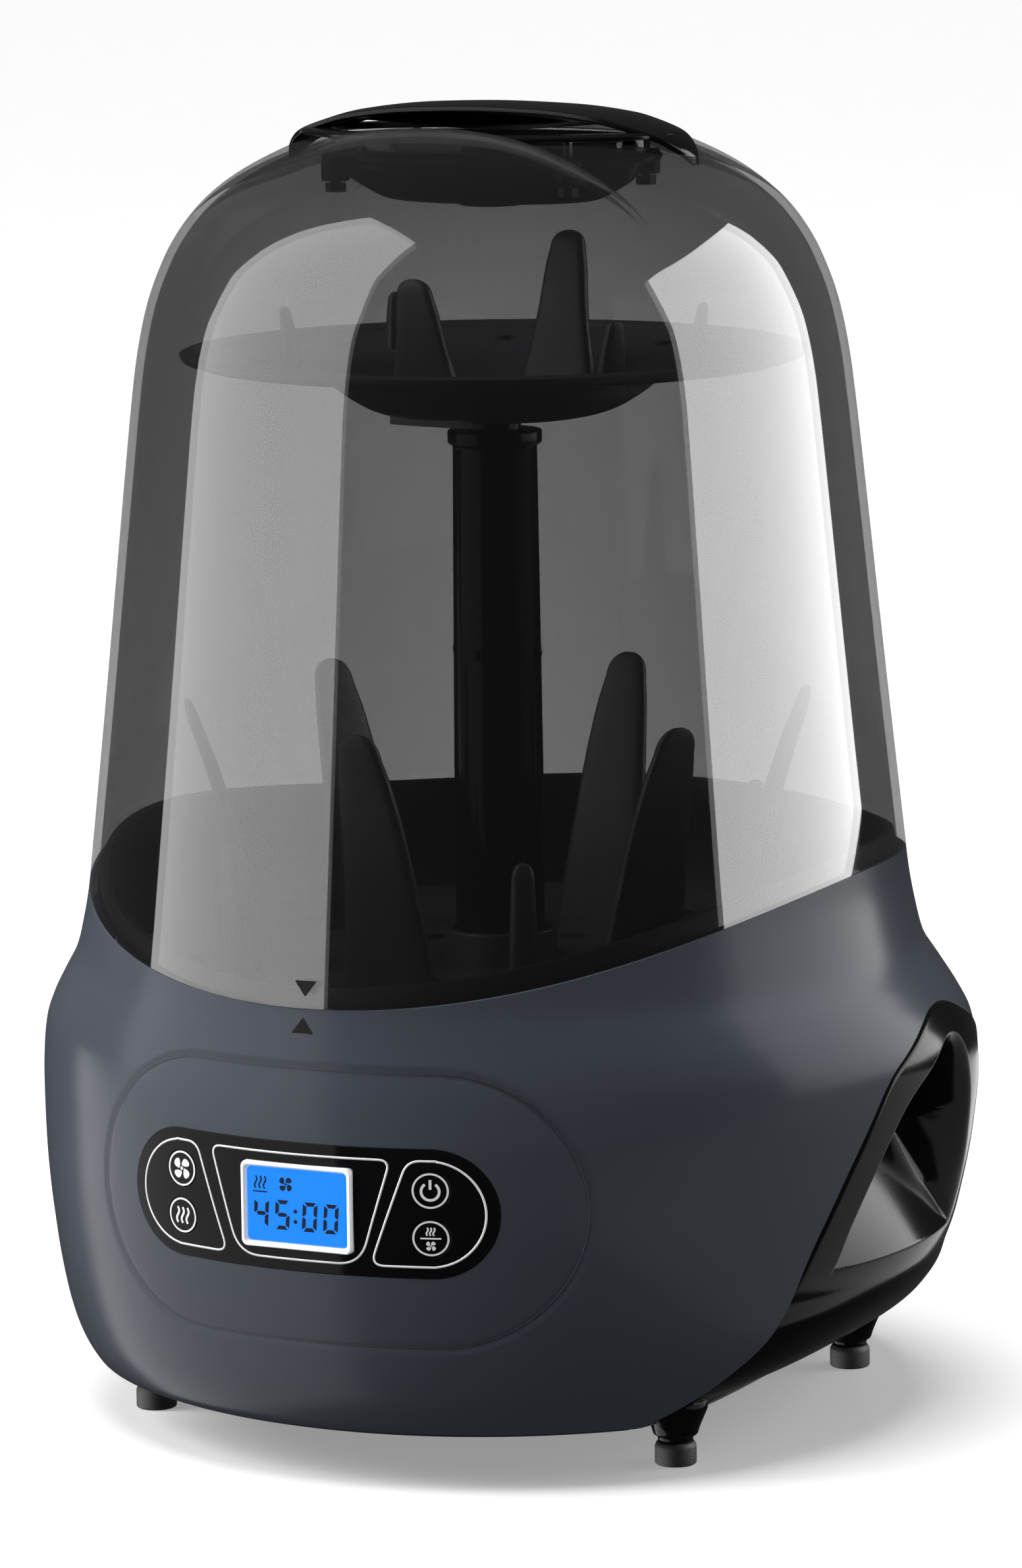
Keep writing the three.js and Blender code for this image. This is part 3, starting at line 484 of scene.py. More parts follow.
SLATE = plastic("slate_gloss", (0.068, 0.076, 0.096), 0.22, vary=0.06, grain=0.04,
                rough_vary=0.04, level=0.085)
BLACK = plastic("black_gloss", (0.006, 0.006, 0.0065), 0.13, vary=0.15, grain=0.04, grain_scale=800,
                rough_vary=0.04, level=0.12)
PANEL = plastic("panel_black", (0.006, 0.006, 0.007), 0.08, vary=0.15, grain=0.02, level=0.06,
                rough_vary=0.03)
DARK = plastic("dark_moulding", (0.028, 0.029, 0.031), 0.42, vary=0.1, grain=0.35, grain_scale=1400)
RACK = plastic("rack_grey", (0.075, 0.077, 0.082), 0.38, vary=0.08, grain=0.15, grain_scale=1100)
SMOKE = plastic("smoke_clear", (0.010, 0.010, 0.011), 0.03, vary=0.05, coat=1.0, coat_rough=0.015,
                rough_vary=0.01, level=0.6, ior=1.5)

wall_path(SMOKE, 0.43, 0.55)
STEEL = plastic("brushed_steel", (0.56, 0.56, 0.57), 0.28, vary=0.06, metallic=1.0, brushed=True,
                grain=0.1, rough_vary=0.08)
# its weak emission is painted light: the silver frame gives off no light of its own
SILVER_WITH_PAINTED_GLOW = plastic("silver_trim", (0.80, 0.81, 0.83), 0.35, vary=0.04, metallic=0.3, rough_vary=0.05,
                 emission=((0.9, 0.95, 1.0), 0.22))
RUBBER = plastic("rubber", (0.010, 0.010, 0.010), 0.6, vary=0.2, grain=0.5, grain_scale=1600)
SILICONE = plastic("silicone", (0.27, 0.28, 0.29), 0.55, vary=0.06, grain=0.2)
FOAM = plastic("filter_foam", (0.66, 0.66, 0.62), 0.9, vary=0.2, grain=1.0, grain_scale=500)
BOARD = plastic("circuit_board", (0.012, 0.10, 0.035), 0.4, vary=0.2, grain=0.3, grain_scale=500)
BLUE = plastic("lcd_blue", (0.0, 0.04, 0.16), 0.12, vary=0.08, rough_vary=0.03, level=0.1,
               emission=((0.0, 0.25, 1.0), 0.92))
# its weak emission is painted light: the white print gives off no light of its own
PRINT_WITH_PAINTED_GLOW = plastic("white_print", (0.80, 0.80, 0.80), 0.45, vary=0.04, grain=0.1,
              emission=((1.0, 1.0, 1.0), 0.12))
DIGIT = plastic("lcd_segments", (0.001, 0.006, 0.03), 0.35, vary=0.2, level=0.1)
MARK = plastic("printed_mark", (0.0015, 0.0015, 0.002), 0.35, vary=0.2, grain=0.1, level=0.1)
DARK_STEEL = plastic("dark_steel", (0.03, 0.03, 0.032), 0.35, vary=0.15, metallic=1.0, brushed=True)
# near-black for the painted shade along the groove round the control panel
GROOVE_SHADE = plastic("seam_shadow", (0.004, 0.004, 0.005), 0.6, vary=0.2)

SLOT_LOOK = {
    "slate_shell": SLATE, "black_gloss": BLACK, "dark_plastic": DARK, "smoke_cover": SMOKE,
    "rack_grey": RACK, "steel": STEEL, "silver_trim": SILVER_WITH_PAINTED_GLOW, "dark_steel": DARK_STEEL, "rubber_pad": RUBBER,
    "silicone": SILICONE, "blue_display": BLUE, "circuit_board": BOARD, "filter_foam": FOAM,
}
for sub in frame["record"]["subparts"]:
    o = NODES[sub["node"]]
    o.data.materials.clear()
    o.data.materials.append(SLOT_LOOK[sub["material_slot"]])
    o.data.polygons.foreach_set("material_index", [0] * len(o.data.polygons))

# rounding of a trimmed edge, as distances outward and inward
LIP = [(0.10, 0.03), (0.22, 0.12), (0.30, 0.28), (0.32, 0.6)]
FINE_LIP = [(0.05, 0.05), (0.12, 0.3)]
PLATE_LIP = [(0.05, 0.1), (0.15, 0.5)]


# ---- Slate shell
def arch_outline(grow=0.0, floor=10.0):
    """Outline of the side arch, closed below the base, grown outward."""
    half = smooth_curve(ARCH, 1.2)
    d = np.gradient(half, axis=0)
    d /= np.linalg.norm(d, axis=1, keepdims=True)
    pts = np.concatenate([half + np.stack([-d[:, 1], d[:, 0]], -1) * grow, [[half[-1, 0] + 2 + grow, floor]]])
    pts[0, 0] = 0
    right = np.stack([ARCH_Y + pts[:, 0], pts[:, 1]], -1)
    left = np.stack([ARCH_Y - pts[1:, 0], pts[1:, 1]], -1)
    return np.concatenate([right, left[::-1]])


ARCH_CURVE = arch_outline()


def shell_cut(p):
    side = polygon_sdf(p[:, 1:3], ARCH_CURVE)
    pill = np.where(p[:, 1] < -60, rounded_box(p[:, 0], p[:, 2], 0, PANEL_Z, 59, 19, 18.99), -50)
    rear = np.where(p[:, 1] > 60, np.maximum(
        rounded_box(p[:, 0], p[:, 2], 0, 63, 42, 23, 2.5),
        rounded_box(p[:, 0], p[:, 2], -62, 50, 12, 9, 1.5)), -50)
    return np.maximum(np.maximum(side, pill), rear)


def groove_depth(x, y, z):
    """Shallow step around the stadium-shaped field that frames the control panel."""
    d = rounded_box(x, z, FIELD_X, FIELD_Z, 77, 40, 39.99)
    line = np.exp(-(d / 0.55) ** 2)
    return np.where(y < -40, 0.25 * smoothstep(-1.2, 1.2, d) + 0.35 * line, 0)


def shell_surface(u, v):
    z = FOOT + v * (NECK_Z - FOOT) / 0.75
    top = NECK_Z + (v - 0.75) / 0.25 * (seam(u) - GAP / 2 - NECK_Z)
    z = np.where(v <= 0.75, z, top)
    p = body_point(u, z)
    g = groove_depth(p[..., 0], p[..., 1], z)
    p[..., 0] *= 1 - g / 135
    p[..., 1] *= 1 - g / 135
    return p


# finer columns over the front third, where the groove and the panel are
REACH = 0.95
columns = np.concatenate([np.linspace(-REACH, REACH, 230), np.linspace(REACH, TAU - REACH, 170)[1:-1]])
shell = clipped(shell_surface, shell_cut, columns,
                np.concatenate([np.linspace(0, 0.75, 110), np.linspace(0.75, 1, 14)[1:]]),
                True, 2.8, LIP)


def on_shell(x, z, lift):
    return np.stack([x, front_y(x, z, 0.0) - lift, z], -1)


# dark ribbon round the stadium field: painted shade of the groove, wider on the right, where the groove's
# wall faces away from the light
ends = [arc(41, FIELD_Z, 39.6, -90, 90, 80), arc(-33, FIELD_Z, 39.6, 90, 270, 80)]
stadium = resample(np.concatenate(ends), 420, True)
turn = np.arctan2(stadium[:, 1] - FIELD_Z, stadium[:, 0] - FIELD_X)
weight = 0.16 + 0.34 * np.clip(np.cos(turn + 0.35), 0, 1)
shell.add(*ribbon(stadium, weight[:, None], on_shell, closed=True, height=0.02, lift=-0.02), mat=1)
shell.build("shell", [SLATE, GROOVE_SHADE], "base", "slate_shell", ["upper_housing"])


# ---- Smoke cover
CROWN_T = np.concatenate([[0], np.cumsum(np.hypot(*np.diff(np.vstack([CROWN, [389, 0]]), axis=0).T))])
CROWN_Z = np.append(CROWN[:, 0], 389)
CROWN_R = np.append(CROWN[:, 1], 0)


def crown_profile(t):
    """Radius and height of the crown at distance t along its profile."""
    return pchip(CROWN_T, CROWN_R, t), pchip(CROWN_T, CROWN_Z, t)


CROWN_LOOK = np.linspace(0, CROWN_T[-1], 800)
CROWN_LOOK_R, CROWN_LOOK_Z = crown_profile(CROWN_LOOK)


def crown_z(x, y):
    r = np.hypot(x, np.asarray(y) / DEPTH_RATIO)
    return np.interp(r, CROWN_LOOK_R[::-1], CROWN_LOOK_Z[::-1])


def crease_y(x):
    return 43 + 7 * (np.asarray(x) / 75) ** 2


def hollow_z(x, y):
    side = np.abs(y) / crease_y(x)
    fade = smoothstep(0, 34, 78 - np.abs(x))
    step = 4.2 * fade * side ** 1.5
    base = crown_z(x, y) - step
    cap = 379.8
    soft = base - cap
    return np.where(soft > -4, cap - 0.5 * np.log1p(np.exp(-np.clip(soft, -30, 30) / 0.5)), base)


along = np.linspace(-78, 78, 120)
HOLLOW_OUTLINE = np.concatenate([np.stack([along, crease_y(along)], -1),
                                 np.stack([along, -crease_y(along)], -1)[::-1]])


def cover_surface(u, v):
    low = seam(u) + GAP / 2
    z = low + (CROWN_LOW - low) * np.minimum(v, 0.3) / 0.3
    a = COVER_HALF - COVER_TAPER * (z - SEAM_Z)
    join = COVER_HALF - COVER_TAPER * (CROWN_LOW - SEAM_Z)
    a = a + (107 - join) * smoothstep(200, CROWN_LOW, z)
    r, cz = crown_profile(np.clip((v - 0.3) / 0.7, 0, 1) * CROWN_T[-1])
    a = np.where(v <= 0.3, a, r)
    z = np.where(v <= 0.3, z, cz)
    x, y = oval_xy(u, a, a * DEPTH_RATIO)
    return np.stack(np.broadcast_arrays(x, y, z), -1)


def cover_cut(p):
    inside = polygon_sdf(p[:, :2], HOLLOW_OUTLINE)
    return np.where(p[:, 2] > 300, inside, -50)


cover = clipped(cover_surface, cover_cut, around(240),
                np.concatenate([np.linspace(0, 0.3, 12), np.linspace(0.3, 0.93, 80)[1:]]),
                True, COVER_WALL, FINE_LIP,
                rim_where=lambda q: q[2] < 300)


def hollow_surface(u, v):
    y = v * crease_y(u)
    return np.stack([u, y, hollow_z(u, y)], -1)


def cup_cut(p):
    return 40 * (1 - np.sqrt((p[:, 0] / 50) ** 2 + (p[:, 1] / 31) ** 2))


dip = clipped(hollow_surface, cup_cut, np.linspace(-78, 78, 90), np.linspace(-1, 1, 60), False,
              COVER_WALL, FINE_LIP,
              rim_where=lambda q: abs(q[0]) < 60 and abs(q[1]) < 40)
cover.merge(dip)
for side in (-1, 1):
    xs = np.linspace(-77.9, 77.9, 150)
    y = side * crease_y(xs)
    top, bottom = crown_z(xs, y), hollow_z(xs, y)
    h = top - bottom
    rows = []
    for inset, drop in ((0, 0), (0.12, 0.06), (0.3, 0.3), (0.36, 0.7), (0.3, 0.92), (0.5, 1.0)):
        k = smoothstep(0, 1.2, h)
        rows.append(np.stack([xs, y - side * inset * k, top - drop * h], -1))
    faces = skin(len(rows), len(xs), closed=False)
    cover.add(np.concatenate(rows), faces if side < 0 else [f[::-1] for f in faces])
cover.build("smoke_dome", SMOKE, "cover", "smoke_cover", ["dome_cover"])


# ---- Carrying handle: strap, flange and finger cup
STRAP = np.array([[-67, 377.2], [-60, 381.4], [-50, 385], [-41, 387.3], [-20, 389.5], [0, 390],
                  [20, 389.5], [41, 387.3], [50, 385], [60, 381.4], [67, 377.2]], float)
loops = []
for x in np.linspace(-66.6, 66.6, 90):
    z = float(pchip(STRAP[:, 0], STRAP[:, 1], x))
    belly = max(0.0, 1 - (x / 44) ** 2)
    tip = math.sqrt(max(0.0, 1 - max(0.0, (abs(x) - 56) / 10.8) ** 2))
    half = 15 * (1 - 0.55 * (x / 67) ** 6) * (0.12 + 0.88 * tip)
    drop = 3.2 * (1 - tip)
    top = [(half * 0.5, z - 0.22, 3), (half * 0.97, z - 0.85, 0.5), (half, z - 1.15), (half, z - 2.5, 0.4),
           (half * 0.86, z - 3.1, 0.8), (half * 0.6, z - 2.6 - 3.6 * belly, 2)]
    mirrored = [(-p[0], *p[1:]) for p in top[::-1]]
    section = rounded(mirrored[3:] + [(0, z, 4)] + top + [(0, z - 2.6 - 6.4 * belly, 4)] + mirrored[:3],
                      0.3, 4, closed=True)
    loops.append(np.stack([np.full(len(section), x), section[:, 0], section[:, 1] - drop], -1))
soup = Soup().add(*loft(loops))
flange = rounded([(0, 380.1), (10, 380.1), (10, 381.3), (8.6, 382.0), (1, 382.0)], 0.4, 3, closed=True)
soup.add(*loft([oval_loop(50 + r, 31 + r * 0.7, z, 110) for r, z in flange], ring=True))
soup.build("carry_strap", BLACK, "cover", "black_gloss", ["lid_handle"], sharp=50)

soup = Soup()
# half-width, half-depth and height down the inside of the cup, then up its outside
inner = smooth_curve([
    (48, 29.2, 379.6), (48, 29.2, 375.6), (46.2, 27.6, 371.5), (43, 25, 368.6), (38.6, 21.2, 365.4),
    (33, 17, 363.1), (27, 13.4, 362.2), (22, 10, 362), (8, 5, 362), (0.3, 0.2, 362)], 1.2)
outer = smooth_curve([
    (0.3, 0.2, 360.1), (10, 6, 360.1), (22, 10.6, 360.1), (28, 14.4, 360.4), (34, 18, 361.2),
    (40, 22.6, 364), (45, 27, 367.2), (48, 30.4, 370.6), (49.4, 31.8, 372.9), (53.2, 34.8, 373.2),
    (53.4, 35, 374.7), (50, 31.2, 375.1), (49.6, 30.6, 375.8), (49.6, 30.6, 379.5), (48.8, 29.9, 379.8),
    (48, 29.2, 379.6)], 1.2)
for rows in (inner[::-1], outer):
    verts, faces = loft([oval_loop(a, b, z, 110) for a, b, z in rows], caps=False)
    soup.add(verts, faces if rows is outer else [f[::-1] for f in faces])
soup.add(*lathe(rounded([(7.4, 360.4), (7.4, 359.2), (9.5, 359.2), (9.5, 360.6)], 0.4), seg=48))
for sx, sy in CORNERS:
    soup.add(*lathe(rounded([(1.9, 367.4), (4.2, 367.4), (4.2, 374.8), (1.9, 374.8)], 0.5),
                    sx * 38, sy * 27, 28))
soup.build("finger_cup", BLACK, "cover", "black_gloss", ["handle_cup"], sharp=60)


# ---- Tray, rack and column
def peg(angle, base, rows, seg=18, power=0.55):
    """Upright blade from rows of height over base, distance from the axis, half-width and half-thickness."""
    rows = np.array(rows, float) + [base, 0, 0, 0]
    zs = np.concatenate([np.linspace(rows[0, 0], rows[-2, 0], 12),
                         np.linspace(rows[-2, 0], rows[-1, 0], 8)[1:]])
    loops = []
    t = around(seg)
    top = rows[-1, 0]
    shoulder = rows[-2, 0]
    for z in zs:
        radius, half, thick = (float(pchip(rows[:, 0], rows[:, k], min(z, top))) for k in (1, 2, 3))
        if z > shoulder:
            k = (z - shoulder) / (top - shoulder)
            cap = math.sqrt(max(0.02, 1 - k * k))
            half = rows[-2, 2] * (0.15 + 0.85 * cap)
            thick = rows[-2, 3] * (0.3 + 0.7 * cap)
        along = half * np.sign(np.cos(t)) * np.abs(np.cos(t)) ** power
        out = radius + thick * np.sign(np.sin(t)) * np.abs(np.sin(t)) ** power
        loops.append(np.stack([out * math.sin(angle) + along * math.cos(angle),
                               -out * math.cos(angle) + along * math.sin(angle), np.full(seg, z)], -1))
    return loft(loops)


top_line = smooth_curve([
    (0.5, 2.4), (20, 2.4), (27, 2.7), (36.5, 5), (45, 9.8), (51.6, 14.6), (60, 15.9), (80, 18.2), (89, 19.3),
    (90.2, 20.6), (91.4, 20.9), (92.4, 20.4)], 1.0) + [0, TRAY_Z]
top_len = np.linspace(0, 1, len(top_line))


def tray_surface(u, v):
    r = np.interp(v, top_len, top_line[:, 0])
    z = np.interp(v, top_len, top_line[:, 1])
    return np.stack([r * np.cos(u), r * np.sin(u), z + 0 * u], -1)


def tray_cut(p):
    d = np.full(len(p), -50.0)
    for i in range(8):
        t = math.pi * (i + 0.5) / 4
        for ring, size in ((19.5, 3.0), (70, 4.0)):
            d = np.maximum(d, size - np.hypot(p[:, 0] - ring * math.cos(t), p[:, 1] - ring * math.sin(t)))
    return d


soup = clipped(tray_surface, tray_cut, around(200),
               np.linspace(0, 1, 90), True, 2.2, PLATE_LIP)
soup.add(*lathe(rounded([(12, TRAY_Z + 2), (12, TRAY_Z + 12), (0.3, TRAY_Z + 12)], 1.5), seg=48))
for angle, top in ((-0.18, 46), (2.96, 55)):
    soup.add(*peg(angle, TRAY_Z, [[2.2, 31, 15, 2.6], [9, 32.5, 13.5, 2.4], [top * 0.55, 35.5, 9, 2.1],
                                  [top - 5, 38.4, 6.0, 1.9], [top, 39.3, 2.4, 0.9]]))
for angle in (1.05, 2.1, -1.25, -2.2):
    soup.add(*peg(angle, TRAY_Z, [[15.5, 60, 5, 2.4], [32, 62.5, 2.8, 1.7], [35, 63, 1.4, 0.9]]))
soup.build("parts_tray", RACK, "tray", "rack_grey", ["accessory_tray"], sharp=50)


def rack_surface(u, v):
    edge = smoothstep(0.9, 1.0, v) * 2.5
    k = np.clip(v, 0, 1)
    a = 14 + (112.6 - 14) * k
    b = 14 + (121.3 - 14) * k
    return np.stack([a * np.sin(u), -b * np.cos(u), RACK_Z + 2.6 + edge + 0 * u], -1)


def rack_cut(p):
    d = np.full(len(p), -50.0)
    for i in range(6):
        at = math.pi * i / 3
        c, s = math.cos(at), math.sin(at)
        x, y = p[:, 0] * c + p[:, 1] * s, -p[:, 0] * s + p[:, 1] * c
        d = np.maximum(d, rounded_box(x, y, 0, -42, 10, 3.6, 3.5))
        d = np.maximum(d, rounded_box(x, y, 0, -92, 22, 3.6, 3.5))
    return d


soup = clipped(rack_surface, rack_cut, np.linspace(TAU, 0, 220, endpoint=False)[::-1],
               np.linspace(0, 1, 80), True, 2.5, PLATE_LIP)
soup.add(*lathe(rounded([(16.8, RACK_Z + 2), (16.8, RACK_Z + 15), (13.9, RACK_Z + 15), (13.9, RACK_Z)], 0.8),
                seg=56))
for i in range(6):
    at = math.pi * i / 3
    soup.add(*peg(at, RACK_Z, [[1.6, 72, 16, 3], [36, 78, 12, 2.4], [68, 87, 8.6, 2], [79, 91, 6.6, 1.8],
                               [86, 93.2, 2.6, 1]]))
    soup.add(*peg(at + math.pi / 6, RACK_Z, [[1.6, 93, 4.4, 3.4], [45, 95, 3.4, 2.4], [50, 95.4, 1.8, 1.3]]))
soup.build("bottle_stand", RACK, "rack", "rack_grey", ["bottle_rack"], sharp=50)

soup = Soup().add(*lathe(rounded([
    (11.4, RACK_Z + 3), (13.4, RACK_Z + 3), (13.4, 190, 8), (12.6, COLUMN_TOP - 4.6),
    (14.1, COLUMN_TOP - 3.9), (14.1, COLUMN_TOP), (7.9, COLUMN_TOP), (7.6, COLUMN_TOP + 9),
    (5, COLUMN_TOP + 9.9), (5, COLUMN_TOP)], 0.6, 4), seg=72))
for i in range(4):
    t = math.pi * i / 2
    a = np.linspace(0, math.pi, 14)
    pip, faces = lathe(np.stack([np.maximum(1.7 * np.sin(a), 0.01), -1.7 * np.cos(a)], -1), seg=20)
    z, y, x = pip.T
    c, s = math.cos(t), math.sin(t)
    pip = np.stack([(x + 13.1) * c - y * s, (x + 13.1) * s + y * c, z + 226], -1)
    soup.add(pip, [f[::-1] for f in faces])
soup.build("column", BLACK, "rack", "black_gloss", ["centre_column"], sharp=50)


# ---- Side grips
def side_x(y, z, offset=0.0):
    """Half-width of the grip's outline surface at (y, z)."""
    y, z = np.broadcast_arrays(np.asarray(y, float), np.asarray(z, float))
    a, b, n, e = (pchip(UNDER[:, 0], UNDER[:, k], z) for k in (1, 2, 3, 4))
    a, b = a - offset, b - offset
    q = np.clip(np.abs(y) / b, 0, 0.9999)
    c = -np.sign(y) * q ** (n / 2)
    s = np.sqrt(1 - c * c)
    return a * s ** (2 / n) * (1 - e * c)


PROUD = 0.6
POCKET_FOOT = 57.0


def inner_x(z, foot_x):
    """The pocket's back wall and the slanted panel below it."""
    slant = 117 + (foot_x - 117) * (92 - z) / (92 - POCKET_FOOT)
    return slant + (114 - slant) * smoothstep(90.5, 93.5, z)


def grip(side):
    """Side panel lofted from its rim in the arch, over the pocket's edge and down to the pocket's back."""
    hole = resample(smooth_curve(HOLE, 1.0, closed=True), 220, closed=True)
    centre = np.array([4.0, 78.0])
    arch = arch_outline(-GAP, 17.0)
    dense = resample(arch[arch[:, 1] >= 17.0], 900, closed=True)
    ang = np.arctan2(dense[:, 1] - centre[1], dense[:, 0] - centre[0])
    hole_ang = np.arctan2(hole[:, 1] - centre[1], hole[:, 0] - centre[0])
    outer = np.stack([np.interp(hole_ang, ang, dense[:, k], period=TAU) for k in (0, 1)], -1)
    tan = np.roll(hole, -1, 0) - np.roll(hole, 1, 0)
    tan /= np.linalg.norm(tan, axis=1, keepdims=True)
    out = np.stack([tan[:, 1], -tan[:, 0]], -1)
    # rounder edge towards the rear, crisp towards the front
    rear = smoothstep(-5, 22, hole[:, 0])
    low = smoothstep(70, 58, hole[:, 1])
    radius = (1.6 + 5.4 * rear) * (1 - 0.75 * low)
    rings = []

    def ring(yz, depth):
        x = side_x(yz[:, 0], yz[:, 1]) + PROUD - depth
        rings.append(np.stack([side * x, yz[:, 0], yz[:, 1]], -1))

    start = hole + out * radius[:, None]
    # outer rim, rounded over into the gap beside the shell
    mid = outer - centre
    mid /= np.linalg.norm(mid, axis=1, keepdims=True)
    for o, d in ((0.0, 3.0), (0.0, 1.0), (-0.15, 0.45), (-0.5, 0.12), (-1.0, 0.0)):
        ring(outer + mid * o, d)
    for s in np.linspace(0.03, 1, 34)[:-1]:
        ring((outer - mid) * (1 - s) + start * s, 0.0)
    # from the rim down to the back of the pocket
    width = (1.2 + 8.8 * rear) * (1 - 0.5 * low)
    to_centre = centre - hole
    reach = np.linalg.norm(to_centre, axis=1)

    def sunk(yz, u):
        x = side_x(yz[:, 0], yz[:, 1]) + PROUD
        foot = side_x(yz[:, 0], np.full(len(yz), POCKET_FOOT)) + PROUD
        full = np.maximum(0, x - inner_x(yz[:, 1], foot))
        ring(yz, full * u * u * (3 - 2 * u))

    for u in np.linspace(0, 1, 20):
        d = u * (radius + width) - radius
        yz = hole + np.where((d < 0)[:, None], -out * d[:, None], to_centre * (d / reach)[:, None])
        sunk(yz, u)
    first = (width / reach)[:, None]
    for k in np.linspace(0, 1, 48)[1:]:
        sunk(hole + to_centre * (first + (0.999 - first) * k), 1.0)
    verts, faces = loft(rings, caps=False)
    soup = Soup().add(verts, [f[::-1] for f in faces] if side > 0 else faces)
    name = "right" if side > 0 else "left"
    soup.build(f"grip_{name}", BLACK, "base", "black_gloss", [f"side_grip_{name}"], sharp=70)


grip(1)
grip(-1)


# ---- Pan, legs and pads
def pan_loop(z, offset, seg=240):
    ang = around(seg)
    p = body_point(ang, np.full(seg, float(z)), offset)
    half = float(np.interp(-z, -ARCH[:, 1], ARCH[:, 0]))
    inside = smoothstep(0, 3, half + 1 - np.abs(p[:, 1] - ARCH_Y))
    limit = side_x(p[:, 1], np.full(seg, max(z, 17.0)), 3.2)
    x = np.minimum(np.abs(p[:, 0]), limit)
    p[:, 0] = np.sign(p[:, 0]) * (np.abs(p[:, 0]) * (1 - inside) + x * inside)
    return p


soup = Soup().add(*loft([pan_loop(z, o) for z, o in (
    (20, 40), (20, 10), (19.8, 7), (15, 3.9), (14.5, 3.2), (14.3, 2.4), (14.3, 1.6), (14.6, 0.9),
    (15.4, 0.5), (16.1, 0.42), (16.1, 3.6), (23, 4.2), (23, 12), (23, 40))]))
soup.build("under_pan", BLACK, "base", "black_gloss", ["base_pan"], sharp=40)

for i, (sx, sy) in enumerate(CORNERS):
    leg = rounded([(0.2, 7.2), (5.2, 7.2), (5.2, 8.4, 0.4), (6.5, 9.0, 1.5), (7.2, 11.4, 3), (9.6, 17, 2),
                   (9.6, 19.7), (0.2, 19.7)], 0.5, 5)
    Soup().add(*lathe(leg, sx * 86, sy * 64.5, 56)).build(
        f"leg_{i + 1}", BLACK, "base", "black_gloss", [f"foot_leg_{i + 1}"], sharp=50)
    pad = rounded([(0.2, 0), (4.4, 0), (4.7, 0.5), (5.3, 0.5), (5.5, 0.02), (6.1, 0.4, 0.4), (6.1, 5.6),
                   (5.4, 6.9), (0.2, 6.9)], 0.5, 4)
    Soup().add(*lathe(pad, sx * 86, sy * 64.5, 56)).build(
        f"pad_{i + 1}", RUBBER, "base", "rubber_pad", [f"foot_pad_{i + 1}"], sharp=50)


# ---- Water basin
def lip_loop(inset, rise, seg=200):
    ang = around(seg)
    z = seam(ang) + rise
    a = COVER_HALF - COVER_TAPER * (z - SEAM_Z)
    x, y = oval_xy(ang, a - inset, a * DEPTH_RATIO - inset)
    return np.stack([x, y, z], -1)


def basin_loop(a, b, z, seg=200):
    ang = around(seg)
    x, y = oval_xy(ang, a, b)
    return np.stack([x, y, np.full(seg, float(z))], -1)


rings = [lip_loop(3.4, 5.8), lip_loop(3.1, 5.2), lip_loop(3.1, -4)]
rings += [basin_loop(*row) for row in (
    (118.2, 126, 129), (112.6, 121, 123), (103, 112, 100), (50, 50, 98), (50, 50, 101), (62, 62, 104),
    (96, 105, 105.3), (99, 108, 106.2), (101, 110, 108.5), (108.6, 117, 124), (109.4, 118, 126.3),
    (110.4, 119, 127), (113.2, 122, 127), (114, 122.8, 128))]
rings += [lip_loop(*row) for row in ((5.7, -8), (5.6, 5), (5.2, 5.8), (4.3, 6.0))]
soup = Soup().add(*loft(rings, ring=True))
soup.add(*lathe(rounded([(14, 99), (14, 120), (11, 120), (11, 98.5)], 0.8), 24, 80, 48))
for sx, sy in CORNERS:
    soup.add(*lathe(rounded([(1.9, 23.4), (5, 23.4), (5, 102)], 0.5), sx * 62, sy * 82, 24))
soup.build("basin", DARK, "base", "dark_plastic", ["water_basin"], sharp=40)


# ---- Rear filter cover
def filter_cut(p):
    d = -rounded_box(p[:, 0], p[:, 2], 0, 63, 41.65, 22.65, 2.2)
    for i in range(5):
        d = np.maximum(d, rounded_box(p[:, 0], p[:, 2], 0, 49 + 7 * i, 32, 1.5, 1.45))
    return d


soup = clipped(body_point, filter_cut, np.linspace(math.pi - 0.36, math.pi + 0.36, 130),
               np.linspace(38, 88, 110), False, 2.4, LIP)
soup.build("rear_grille", DARK, "filter", "dark_plastic", ["filter_cover"])


# ---- Control panel
KEYS = {
    "key_fan": (-40, PANEL_Z + 6.9, "fan_key"), "key_steam": (-40, PANEL_Z - 6.9, "steam_key"),
    "key_power": (40, PANEL_Z + 6.9, "power_key"), "key_auto": (40, PANEL_Z - 6.9, "auto_key"),
}


def bezel_cut(p):
    d = -rounded_box(p[:, 0], p[:, 2], 0, PANEL_Z, 58.65, 18.65, 18.64)
    d = np.maximum(d, rounded_box(p[:, 0], p[:, 2], 0, PANEL_Z, 18.0, 12.8, 1.2))
    for x, z, _ in KEYS.values():
        d = np.maximum(d, 5.68 - np.hypot(p[:, 0] - x, p[:, 2] - z))
    return d


def bezel_surface(u, v):
    # v in -1..1 over the height, u is x
    z = PANEL_Z + v * 19
    return np.stack([u, front_y(u, z, 0.15), z + 0 * u], -1)


soup = clipped(bezel_surface, bezel_cut, np.linspace(-59.5, 59.5, 230), np.linspace(-1.02, 1.02, 84),
               False, 2.6, LIP)


def on_panel(x, z, lift):
    return np.stack([x, front_y(x, z, 0.15) - lift, z], -1)


